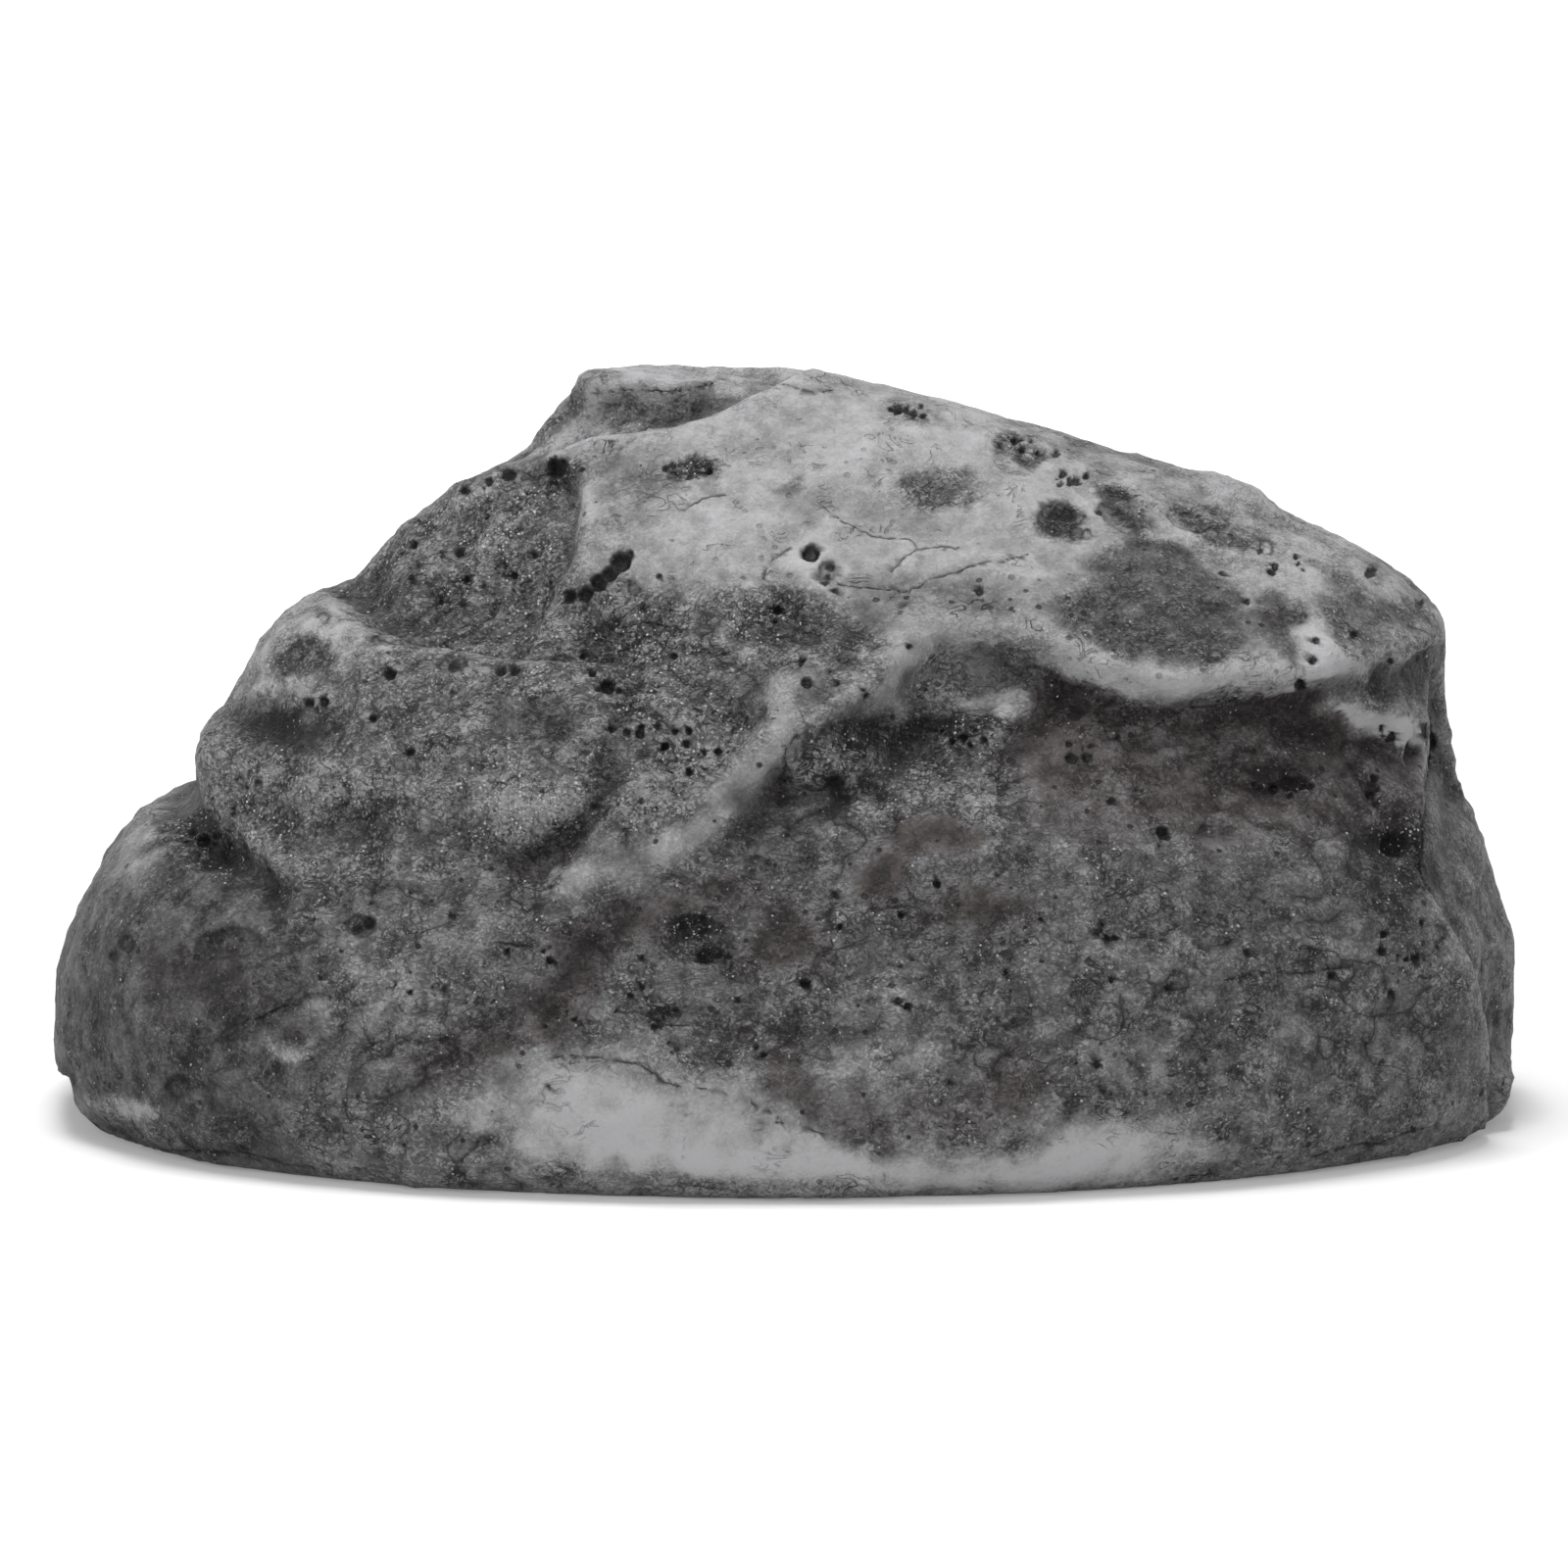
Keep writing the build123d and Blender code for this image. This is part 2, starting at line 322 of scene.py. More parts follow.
def level_outline(height, cosine, sine):
    """Points at the given heights and turns on the rock's level outlines, in millimetres."""
    table = np.array(LEVELS)
    left, right, front, back = (np.interp(height, table[:, 0], table[:, k]) for k in (1, 2, 3, 4))
    front_squareness = np.interp(height, *FRONT_SQUARENESS)
    power = 2 / np.where(sine > 0, np.interp(height, *BACK_SQUARENESS), front_squareness)
    x = (left + right) / 2 + (right - left) / 2 * np.sign(cosine) * np.abs(cosine) ** power
    y = (front + back) / 2 + (back - front) / 2 * np.sign(sine) * np.abs(sine) ** power
    return x, y


def rough_rock():
    """A sphere whose rows are moved to the rock's levels; its lowest rows become the flat base."""
    clay = bmesh.new()
    bmesh.ops.create_uvsphere(clay, u_segments=128, v_segments=96, radius=1)
    points = np.array([v.co[:] for v in clay.verts])
    reach = np.hypot(points[:, 0], points[:, 1]) + 1e-9
    climb = (1 + np.arctan2(points[:, 2], reach) / (math.pi / 2)) / 2
    above = np.clip((climb - BASE_SHARE) / (1 - BASE_SHARE), 0, 1)
    height = ROCK_HEIGHT * np.sin(above * math.pi / 2) ** CROWDING
    inward = np.clip(climb / BASE_SHARE, 0, 1)
    x, y = level_outline(height, points[:, 0] / reach, points[:, 1] / reach)
    for vertex, px, py, pz, share in zip(clay.verts, x, y, height, inward):
        vertex.co = (px * share * MM, py * share * MM, pz * MM)
    mesh = bpy.data.meshes.new("rock")
    clay.to_mesh(mesh)
    clay.free()
    return mesh


rock = bpy.data.objects.new("cast_rock", rough_rock())
bpy.context.scene.collection.objects.link(rock)
print("rough form:", len(rock.data.vertices), "points")

# %% [markdown]
# ## Tools for working the clay
# Sculpting in code needs few tools. `remesh` gives the clay an even skin again after it was stretched.
# `Clay` reads the points, their normals, and the column and row where the photo would show each one, so
# that a tool mark can be placed on the photo and given its width and depth in real millimetres.

# %% Tools for working the clay
BOX_LOW, BOX_HIGH = (np.array(corner) / MM for corner in frame_box)


class Clay:
    """The mesh as arrays in millimetres, seen from the photo's side or from behind."""

    def __init__(self, mesh, behind=False):
        self.mesh = mesh
        self.behind = behind
        self.read()

    def read(self):
        count = len(self.mesh.vertices)
        flat = np.empty(count * 3, np.float32)
        self.mesh.vertices.foreach_get("co", flat)
        self.points = flat.reshape(-1, 3).astype(float) / MM
        self.mesh.vertex_normals.foreach_get("vector", flat)
        self.normals = flat.reshape(-1, 3).astype(float)
        mirror = np.array([-1.0, -1.0, 1.0]) if self.behind else np.ones(3)
        seen, facing = self.points * mirror, self.normals * mirror
        nearer = DISTANCE / (DISTANCE - (seen - aim) @ toward_camera)
        self.column = PHOTO_SIDE / 2 + seen[:, 0] * nearer / MM_PER_PIXEL
        self.row = PHOTO_SIDE / 2 - ((seen - aim) @ picture_up) * nearer / MM_PER_PIXEL
        self.front = smooth_step(-0.05, 0.3, facing @ toward_camera)

    def push(self, amount, direction=None):
        """Moves the points outwards by amount, along their normals unless a direction is given."""
        way = self.normals if direction is None else np.asarray(direction, float)
        self.points = self.points + way * np.asarray(amount)[:, None]
        self.points = np.clip(self.points, BOX_LOW, BOX_HIGH)
        self.mesh.vertices.foreach_set("co", (self.points * MM).astype(np.float32).ravel())
        self.mesh.update()
        self.read()


def smooth_step(low, high, value):
    t = np.clip((value - low) / (high - low), 0, 1)
    return t * t * (3 - 2 * t)


def spot_share(column, row, spot):
    """Distance from a turned ellipse's centre, as a share of its half-width and half-height."""
    middle_column, middle_row, half_width, half_height, turn = spot
    angle = math.radians(turn)
    across, down = column - middle_column, row - middle_row
    along = across * math.cos(angle) - down * math.sin(angle)
    beside = across * math.sin(angle) + down * math.cos(angle)
    return np.hypot(along / half_width, beside / half_height)


def from_spot(clay, spot):
    return spot_share(clay.column, clay.row, spot)


def from_line(clay, line):
    """Distance in millimetres from a line drawn on the photo; negative on the left of its direction."""
    best, side = np.full(len(clay.column), 1e9), np.ones(len(clay.column))
    for (c0, r0), (c1, r1) in zip(line, line[1:]):
        run, drop = c1 - c0, r1 - r0
        share = ((clay.column - c0) * run + (clay.row - r0) * drop) / (run * run + drop * drop)
        share = np.clip(share, 0, 1)
        gap = np.hypot(clay.column - c0 - share * run, clay.row - r0 - share * drop)
        turn = run * (clay.row - r0) - drop * (clay.column - c0)
        closer = gap < best
        best = np.where(closer, gap, best)
        side = np.where(closer, np.where(turn < 0, -1.0, 1.0), side)
    return best * side * MM_PER_PIXEL


def swell(clay, spot, height, hardness=2.0):
    """Raises a soft oval, or sinks one where height is negative. A high hardness gives steep sides."""
    clay.push(clay.front * height * np.exp(-from_spot(clay, spot) ** hardness * 1.2))


def ledge(clay, line, raised, sunk, raised_reach, sunk_reach, edge):
    """Raises the left side of a line and sinks its right side, with a steep edge between the two."""
    gap = from_line(clay, line)
    high = raised * np.exp(-((np.minimum(gap, 0) / raised_reach) ** 2))
    low = sunk * np.exp(-((np.maximum(gap, 0) / sunk_reach) ** 2))
    across = smooth_step(-edge / 2, edge / 2, gap)
    clay.push(clay.front * (high * (1 - across) - low * across))


def ridge(clay, line, height, half_width):
    """Raises a rounded ridge along a line, or cuts a groove where height is negative."""
    clay.push(clay.front * height * np.exp(-((from_line(clay, line) / half_width) ** 2)))


def remesh(thing, size_mm):
    """Gives the mesh an even skin of squares."""
    modifier = thing.modifiers.new("even skin", "REMESH")
    modifier.mode = "VOXEL"
    modifier.voxel_size = size_mm * MM
    apply_modifiers(thing)


def apply_modifiers(thing):
    evaluated = thing.evaluated_get(bpy.context.evaluated_depsgraph_get())
    fresh = bpy.data.meshes.new_from_object(evaluated)
    thing.modifiers.clear()
    old, thing.data = thing.data, fresh
    bpy.data.meshes.remove(old)


def relax(mesh, rounds, share):
    """Evens out small bumps, as a wet brush does on clay."""
    clay = bmesh.new()
    clay.from_mesh(mesh)
    for _ in range(rounds):
        bmesh.ops.smooth_vert(clay, verts=clay.verts, factor=share, use_axis_x=True, use_axis_y=True,
                              use_axis_z=True)
    clay.to_mesh(mesh)
    clay.free()


COARSE, FINE = 0.7, 0.58
remesh(rock, COARSE)
relax(rock.data, 2, 0.5)
print("coarse clay:", len(rock.data.vertices), "points")

# %% [markdown]
# ## Masses, ledges and hollows
# The front of the stone is a few big masses. A pale crown slopes down to a ridge at the right, with a
# hollow wall under it; at the left the stone steps down over two shelves to a low lobe. Each mark below is
# a line or an oval drawn on the photo, in its columns and rows, with heights and reaches in millimetres.

# %% Masses, ledges and hollows
# Each ledge: its line, then how high and how deep, how far each side reaches, and the edge's width.
LEDGES = {
    "ridge under the crown": ([(806, 764), (861, 733), (913, 692), (958, 656), (1026, 654), (1080, 672),
        (1130, 695), (1190, 706), (1262, 703), (1325, 702), (1352, 696), (1392, 684)], 0.9, 2.4, 3.4, 8.0,
        0.55),
    "second ledge at the right": ([(1362, 730), (1410, 738), (1452, 752)], 1.1, 1.3, 1.4, 3.0, 0.6),
    "shelf at the left": ([(596, 676), (545, 678), (476, 671), (421, 664), (376, 641), (336, 610)], 0.5,
        1.3, 3.0, 5.0, 1.8),
    "crown's left wall": ([(562, 462), (588, 500), (590, 540), (583, 575), (566, 606), (552, 640)], 0.3,
        1.1, 3.0, 4.0, 1.2),
    "crease under the left mass": ([(206, 766), (208, 810), (228, 846), (258, 874)], 0.7, 1.2, 2.2, 3.0,
        0.9),
    "foot of the left mass": ([(300, 890), (350, 900), (440, 892), (503, 872), (556, 852)], 0.1, 0.35, 2.5,
        3.5, 3.4),
    "right end of the left mass": ([(556, 852), (588, 836), (604, 806), (608, 766)], 0.4, 0.8, 2.0, 2.0,
        1.0),
    "crown's upper edge": ([(812, 380), (771, 398), (740, 415), (689, 434), (625, 446), (579, 456),
        (560, 449), (528, 468)], 0.35, 1.3, 2.0, 2.4, 0.6),
    "slit under the rear lump": ([(604, 402), (650, 399), (716, 398)], 0.6, 0.7, 1.0, 1.0, 0.5),
    "front's right corner": ([(1520, 1118), (1522, 1060), (1508, 1000), (1480, 950), (1458, 900),
        (1450, 868), (1453, 816), (1458, 762)], 0.5, 1.5, 3.0, 4.0, 0.8),
    "step beside the oval lobe": ([(800, 790), (830, 802), (880, 790), (916, 748)], 0.7, 0.5, 2.0, 1.5,
        0.5),
    "shelf in the hollow": ([(936, 742), (975, 757), (1010, 758), (1042, 734)], 0.5, 0.7, 2.0, 2.0, 0.6),
    "flake over the pale foot": ([(540, 1080), (614, 1079), (653, 1093), (685, 1114), (753, 1116),
        (796, 1146), (856, 1161), (938, 1182), (988, 1182), (1030, 1160), (1075, 1130)], 0.18, 0.18, 2.0,
        4.0, 0.5),
}
# Each oval: column, row, half-width, half-height, turn in degrees, then its height and hardness.
OVALS = {
    "rear lump, left": (662, 390, 72, 18, 0, 1.1, 3),
    "rear lump, right": (1262, 496, 62, 18, -14, 1.0, 3),
    "hollow facet": (480, 575, 100, 78, 20, -1.3, 3),
    "top of the left shelf": (300, 650, 60, 45, 40, 0.6, 2),
    "front of the left mass": (410, 750, 190, 80, 0, 0.6, 2),
    "dark dip in the left mass": (285, 742, 70, 24, 0, -0.7, 2),
    "low lobe": (150, 970, 95, 130, 0, 0.7, 2),
    "crease by the low lobe": (222, 856, 34, 20, -30, -0.9, 2),
    "sparkling dent": (799, 632, 44, 29, 0, -1.0, 5),
    "rough hollow beside it": (871, 657, 40, 40, 0, -0.45, 4),
    "rough field under the bubbles": (655, 660, 72, 50, 0, -0.6, 4),
    "slot by the second ledge": (1459, 750, 8, 16, 0, -0.7, 3),
    "valley left of the pale rib": (712, 772, 78, 40, 38, -1.3, 3),
    "oval lobe": (858, 768, 56, 25, 20, 0.9, 4),
    "hollow right of the lobe": (965, 715, 70, 42, 15, -0.9, 2),
    "hollow wall under the ridge": (1230, 800, 190, 70, 0, -1.0, 2),
    "pocket in the corner": (1423, 857, 26, 24, 0, -0.8, 2),
    "dark facet at the right": (1418, 650, 52, 50, 60, -0.8, 3),
    "pale wedge": (1345, 665, 34, 16, -45, 0.6, 2),
    "crown swelling, left": (690, 540, 110, 60, 0, 0.5, 2),
    "crown swelling, right": (880, 470, 120, 34, 10, 0.7, 2),
    "crown trough": (930, 535, 130, 22, -12, -0.5, 2),
    "crown roll": (1030, 590, 120, 30, -20, 0.4, 2),
    "foot of the front": (760, 1130, 420, 60, 0, 0.5, 2),
    "slack in the front": (900, 940, 260, 60, 12, -0.5, 2),
    "swelling in the front": (1180, 1010, 200, 90, 0, 0.5, 2),
    "swelling at the left": (420, 1000, 130, 60, 12, 0.5, 2),
    "dark furrow": (560, 1010, 130, 30, 42, -0.7, 2),
    "lump at the right foot": (1536, 1112, 22, 38, 0, 0.8, 3),
    "cut at the left foot": (114, 1164, 60, 12, -18, -0.8, 2),
}
# Each rib: its line, then its height and half-width.
RIBS = {
    "pale rib": ([(806, 690), (796, 722), (788, 756), (758, 808), (720, 842), (680, 862)], 0.65, 0.9),
    "pale rib's foot": ([(680, 862), (640, 880), (600, 900)], 0.3, 1.1),
    "corner edge": ([(1466, 766), (1458, 800), (1452, 840), (1452, 870)], 0.6, 0.7),
    "rib by the left mass": ([(650, 806), (622, 828), (600, 866), (586, 900)], 0.6, 0.9),
    "fold in the crown": ([(600, 405), (640, 398), (700, 404), (760, 396)], 0.5, 0.8),
    "edge of the hollow facet": ([(400, 532), (440, 516), (500, 500), (540, 478)], 0.6, 1.0),
}


def work(clay, ovals, ledges, ribs):
    """Works all the ovals into the clay, then the ledges, then the ribs."""
    for *spot, height, hardness in ovals.values():
        swell(clay, spot, height, hardness)
    for line, *sizes in ledges.values():
        ledge(clay, line, *sizes)
    for line, height, half_width in ribs.values():
        ridge(clay, line, height, half_width)


work(Clay(rock.data), OVALS, LEDGES, RIBS)
print("front worked with", len(OVALS) + len(LEDGES) + len(RIBS), "marks")

# %% [markdown]
# ## The back
# The photo doesn't show it. Beds like the shelves at the left end run along it, as they do in a real stone,
# and it gets its own few masses. The same tools work there, on the picture that a camera behind the rock
# would see.

# %% The back
BACK_LEDGES = {
    "upper bed": ([(640, 560), (760, 590), (900, 575), (1010, 600), (1120, 640), (1240, 650)], 0.9, 1.8,
        3.5, 6.0, 1.2),
    "middle bed": ([(330, 700), (480, 735), (640, 722), (800, 760), (930, 748)], 0.9, 1.9, 3.0, 6.0, 1.2),
    "lower bed": ([(820, 880), (960, 872), (1120, 900), (1290, 868), (1400, 880)], 0.8, 1.1, 3.0, 5.0, 1.3),
    "split": ([(520, 1160), (560, 1010), (540, 900), (590, 800)], 0.6, 1.2, 4.0, 3.0, 0.9),
}
BACK_OVALS = {
    "crown, from behind": (840, 500, 170, 60, 10, 0.8, 2),
    "scoop": (600, 650, 110, 60, -15, -1.3, 3),
    "right shoulder": (1180, 760, 130, 70, -20, 0.9, 2),
    "low belly": (760, 1010, 220, 90, 0, 0.8, 2),
    "left pocket": (330, 930, 110, 80, 20, -1.2, 3),
    "foot hollow": (1120, 1060, 130, 50, 0, -0.4, 2),
}
work(Clay(rock.data, behind=True), BACK_OVALS, BACK_LEDGES, {})
remesh(rock, FINE)
relax(rock.data, 1, 0.5)
print("fine clay:", len(rock.data.vertices), "points")

# %% [markdown]
# ## The pocket in the base
# Such a rock is cast round a former that leaves a stepped pocket: a shallow recess for the track frame,
# a deeper one for the key tub, a mouth at the left end where the door slides out, and four holes for the
# screw plugs. A Boolean cut with simple blocks leaves the same crisp walls in the rough stone.

# %% The pocket in the base
KEY_CENTRE = (-1.0, 6.0)
MOUTH_LENGTH = 60.0  # more than enough to break out at the left end
CUTS = [  # size, corner, top and centre of the recess, the pocket and the mouth
    ((72.6, 38.2), 6.3, 5.5, KEY_CENTRE),
    ((57.4, 26.8), 7.7, 16.3, KEY_CENTRE),
    ((MOUTH_LENGTH, 28.6), 0, 3.6, (KEY_CENTRE[0] - MOUTH_LENGTH / 2, KEY_CENTRE[1])),
]
PLUG_SPREAD, PLUG_HOLE_RADIUS, PLUG_HOLE_TOP = (20.0, 16.6), 2.02, 13.8
PLUG_HOLES = [((2 * PLUG_HOLE_RADIUS, 2 * PLUG_HOLE_RADIUS), PLUG_HOLE_RADIUS, PLUG_HOLE_TOP,
               (KEY_CENTRE[0] + side_x * PLUG_SPREAD[0], KEY_CENTRE[1] + side_y * PLUG_SPREAD[1]))
              for side_x in (-1, 1) for side_y in (-1, 1)]
BELOW = -2.0  # the cutters start under the ground, so that they break through the base
WALL = 1.5  # the least stone beside the recess, the pocket and the plug holes


def moved_to(shape, size, low, centre):
    """Sizes a unit shape and puts its foot at a height, all in millimetres."""
    bmesh.ops.scale(shape, vec=Vector(size) * MM, verts=shape.verts)
    middle = Vector((centre[0], centre[1], low + size[2] / 2)) * MM
    bmesh.ops.translate(shape, vec=middle, verts=shape.verts)


def rounded_block(size, corner, low, top, centre):
    block = bmesh.new()
    bmesh.ops.create_cube(block, size=1)
    moved_to(block, (*size, top - low), low, centre)
    upright = [e for e in block.edges if abs(e.verts[0].co.z - e.verts[1].co.z) > MM]
    if corner:
        bmesh.ops.bevel(block, geom=upright, offset=corner * MM, offset_type="OFFSET", affect="EDGES",
                        segments=10, profile=0.5, material=-1)
    return block


def round_hole(radius, top, centre):
    hole = bmesh.new()
    bmesh.ops.create_cone(hole, cap_ends=True, segments=32, radius1=1, radius2=1, depth=1)
    moved_to(hole, (radius, radius, top - BELOW), BELOW, centre)
    return hole


def plan_gap(points, size, corner, centre):
    """Distance in plan from a rounded block's outline, negative inside it."""
    reach = np.abs(points[:, :2] - centre) - (np.array(size) / 2 - corner)
    return np.hypot(*np.maximum(reach, 0).T) + np.minimum(reach.max(axis=1), 0) - corner


def keep_wall(clay, size, corner, top, centre):
    """Moves the rock's side outwards where it comes too near to what will be cut away."""
    level = clay.normals * (1, 1, 0)
    upright = smooth_step(0.3, 0.7, np.hypot(level[:, 0], level[:, 1]))
    low_enough = smooth_step(top + WALL + 2, top + WALL, clay.points[:, 2])
    missing = np.clip(WALL - plan_gap(clay.points, size, corner, centre), 0, 4)
    clay.push(missing * upright * low_enough, level)


def cut(thing, shape):
    """Takes a shape away from a piece."""
    tool = bpy.data.objects.new("cutter", bpy.data.meshes.new("cutter"))
    shape.to_mesh(tool.data)
    shape.free()
    bpy.context.scene.collection.objects.link(tool)
    modifier = thing.modifiers.new("cut", "BOOLEAN")
    modifier.operation = "DIFFERENCE"
    modifier.solver = "EXACT"
    modifier.object = tool
    apply_modifiers(thing)
    bpy.data.objects.remove(tool)


clay = Clay(rock.data)
for shape in CUTS[:2] + PLUG_HOLES:
    keep_wall(clay, *shape)
for size, corner, top, centre in CUTS:
    cut(rock, rounded_block(size, corner, BELOW, top, centre))
for size, radius, top, centre in PLUG_HOLES:
    cut(rock, round_hole(radius, top, centre))
print("after the pocket:", len(rock.data.vertices), "points")

# %% [markdown]
# ## Bubbles, dents and cracks
# Air bubbles in the mould left round holes, many in chains, and the wash paint filled them with black.
# Larger ones healed into shallow rings. Each is placed on the photo by its column, row and width, and the
# skin is divided finely round it first, because a bubble is smaller than the clay's squares.

# %% Where the small marks are
HOLES = [  # column, row, width: black bubbles
    (568, 477, 22), (519, 484, 14), (500, 489, 7), (474, 501, 9), (497, 528, 6), (545, 566, 8),
    (524, 587, 8), (473, 615, 8), (449, 614, 6), (493, 597, 6), (581, 608, 15), (597, 606, 19),
    (611, 595, 18), (622, 585, 18), (633, 574, 23), (643, 565, 9), (672, 587, 7), (397, 688, 14),
    (621, 700, 16), (381, 733, 9), (418, 768, 10), (671, 741, 6), (828, 564, 19), (1000, 603, 10),
    (739, 666, 7), (818, 675, 9), (928, 660, 7), (823, 697, 12), (852, 798, 13), (1302, 577, 9),
    (1449, 616, 9), (1247, 585, 7), (1273, 614, 7), (1342, 653, 9), (1340, 673, 9), (1382, 647, 8),
    (1419, 675, 7), (1327, 700, 13), (1285, 804, 8), (1313, 802, 8), (1316, 812, 7), (1337, 802, 9),
    (1404, 806, 8), (1187, 850, 14), (1134, 817, 8), (1140, 752, 7), (1113, 761, 7), (1094, 774, 12),
    (1272, 971, 8), (1359, 996, 7), (1191, 1007, 7), (1443, 1153, 7), (857, 945, 7), (1062, 938, 6),
    (753, 1020, 7), (772, 1068, 7), (780, 1076, 6), (969, 1104, 6), (916, 417, 13), (942, 424, 9),
    (1085, 483, 9), (1098, 492, 9), (1108, 486, 8), (1123, 523, 8), (1078, 463, 8), (1399, 584, 12),
    (208, 858, 15), (197, 849, 9), (217, 868, 9), (330, 716, 12), (315, 717, 11), (511, 684, 11),
    (524, 684, 12), (464, 676, 13), (655, 1007, 8), (822, 1004, 12), (917, 1021, 8), (560, 1108, 5),
    (326, 998, 6), (376, 941, 12), (364, 947, 10), (1456, 743, 12), (1458, 751, 13), (1460, 759, 11),
    (595, 669, 7), (653, 749, 11), (640, 747, 9), (626, 744, 10), (632, 704, 7), (612, 703, 7),
    (1286, 562, 8),
]
PIT_FIELDS = [  # column, row, half-width, half-height, how many: clusters of small black bubbles
    (702, 481, 24, 9, 9), (926, 418, 20, 8, 7), (1095, 489, 18, 7, 6), (706, 946, 22, 11, 11),
    (728, 976, 18, 8, 6), (1308, 801, 30, 8, 8), (1404, 806, 10, 16, 6), (208, 860, 18, 15, 8),
    (640, 746, 22, 10, 6), (505, 492, 36, 12, 6), (1040, 458, 28, 9, 6), (1128, 948, 18, 14, 7),
    (975, 750, 42, 12, 12), (799, 640, 30, 18, 8), (1100, 764, 16, 14, 6), (640, 670, 50, 30, 12),
    (700, 770, 44, 26, 12), (470, 570, 70, 50, 12), (850, 590, 10, 20, 5), (690, 1040, 34, 12, 8),
    (1310, 575, 24, 16, 5), (250, 830, 30, 40, 6), (590, 1000, 90, 60, 12), (900, 960, 120, 70, 12),
    (1150, 1030, 140, 90, 14), (430, 960, 90, 60, 10), (850, 700, 50, 16, 6), (1430, 960, 30, 80, 8),
    (1415, 747, 7, 10, 7),
]
FIELD_WIDTHS = (3.5, 10.5)  # pixels; most are nearer the smaller width
dice = np.random.default_rng(7)


def scattered(fields):
    """Small bubbles, scattered over oval fields."""
    bubbles = []
    for column, row, half_width, half_height, count in fields:
        for _ in range(count):
            turn, reach = dice.uniform(0, 2 * math.pi), math.sqrt(dice.uniform(0, 1))
            width = FIELD_WIDTHS[0] + (FIELD_WIDTHS[1] - FIELD_WIDTHS[0]) * dice.uniform(0, 1) ** 2
            bubbles.append((column + half_width * reach * math.cos(turn),
                            row + half_height * reach * math.sin(turn), width))
    return bubbles


HOLES += scattered(PIT_FIELDS)
RINGS = [  # column, row, width: healed bubbles, a shallow bowl with a dark outline
    (564, 497, 12), (647, 601, 13), (330, 630, 12), (383, 654, 9), (644, 711, 12), (129, 963, 17),
    (117, 976, 10), (181, 1109, 24), (1098, 544, 13), (1110, 545, 10), (1292, 558, 15), (1070, 520, 10),
    (1083, 518, 9), (852, 798, 17),
]
DENTS = [  # column, row, half-width, half-height, turn, depth in millimetres
    (238, 962, 27, 16, 4, 0.26), (211, 967, 12, 15, 0, 0.3), (1078, 528, 19, 17, 0, 0.35),
    (322, 1023, 18, 10, 0, 0.25), (774, 885, 14, 13, 0, 0.3), (706, 946, 22, 12, 0, 0.4),
    (728, 975, 18, 8, 0, 0.3), (678, 1036, 17, 8, 0, 0.3), (1423, 862, 13, 12, 0, 0.6),
    (572, 675, 10, 8, 0, 0.4), (461, 676, 16, 9, 15, 0.35), (702, 480, 22, 9, 14, 0.2),
    (844, 582, 9, 12, -35, 0.35), (1320, 799, 16, 8, 0, 0.4), (368, 944, 15, 11, 0, 0.3),
    (1210, 530, 20, 10, -25, 0.25), (1140, 528, 22, 10, -35, 0.25),
]
CRACKS = [  # points on the photo, fine dark lines
    [(777, 594), (785, 573), (806, 558)],
    [(840, 518), (861, 532), (895, 548), (930, 551), (937, 560)],
    [(908, 584), (920, 570), (937, 560), (964, 558), (982, 559)],
    [(916, 625), (930, 601), (951, 591), (975, 584), (999, 575), (1024, 572), (1049, 566)],
    [(854, 596), (873, 598), (895, 601), (926, 603)],
    [(562, 592), (560, 604), (554, 620), (552, 635)],
    [(1168, 747), (1190, 734), (1213, 723), (1240, 720), (1261, 713)],
    [(508, 962), (526, 964), (543, 966)],
    [(247, 1044), (269, 1037), (286, 1026), (304, 1026)],
    [(678, 1046), (700, 1045), (720, 1047)],
    [(1120, 936), (1127, 954), (1150, 957), (1174, 957), (1190, 951), (1206, 943)],
    [(1249, 1000), (1270, 996), (1291, 993), (1327, 993), (1350, 990), (1377, 986)],
    [(802, 797), (801, 780), (802, 766), (813, 749)],
    [(808, 804), (824, 808), (846, 806)],
    [(560, 1079), (580, 1078), (596, 1079), (622, 1081), (649, 1086), (665, 1094), (678, 1104), (705, 1110),
        (731, 1114), (760, 1121), (774, 1132), (796, 1136), (792, 1146), (817, 1150), (856, 1161)],
    [(104, 1159), (130, 1168), (158, 1173), (200, 1175), (240, 1176), (268, 1181), (290, 1187),
        (319, 1191)],
    [(1341, 1179), (1360, 1175), (1377, 1170), (1413, 1165), (1441, 1154), (1484, 1143)],
    [(1400, 1195), (1425, 1190), (1447, 1183)],
    [(964, 1072), (980, 1071)],
    [(1461, 764), (1454, 792), (1450, 826), (1452, 861), (1447, 892)],
    [(604, 402), (630, 399), (660, 398), (697, 399), (716, 395), (737, 386)],
    [(562, 501), (575, 508), (590, 520)],
    [(790, 390), (830, 400), (850, 398)],
    [(640, 640), (660, 634), (684, 640)],
    [(700, 520), (716, 508), (742, 505)],
]
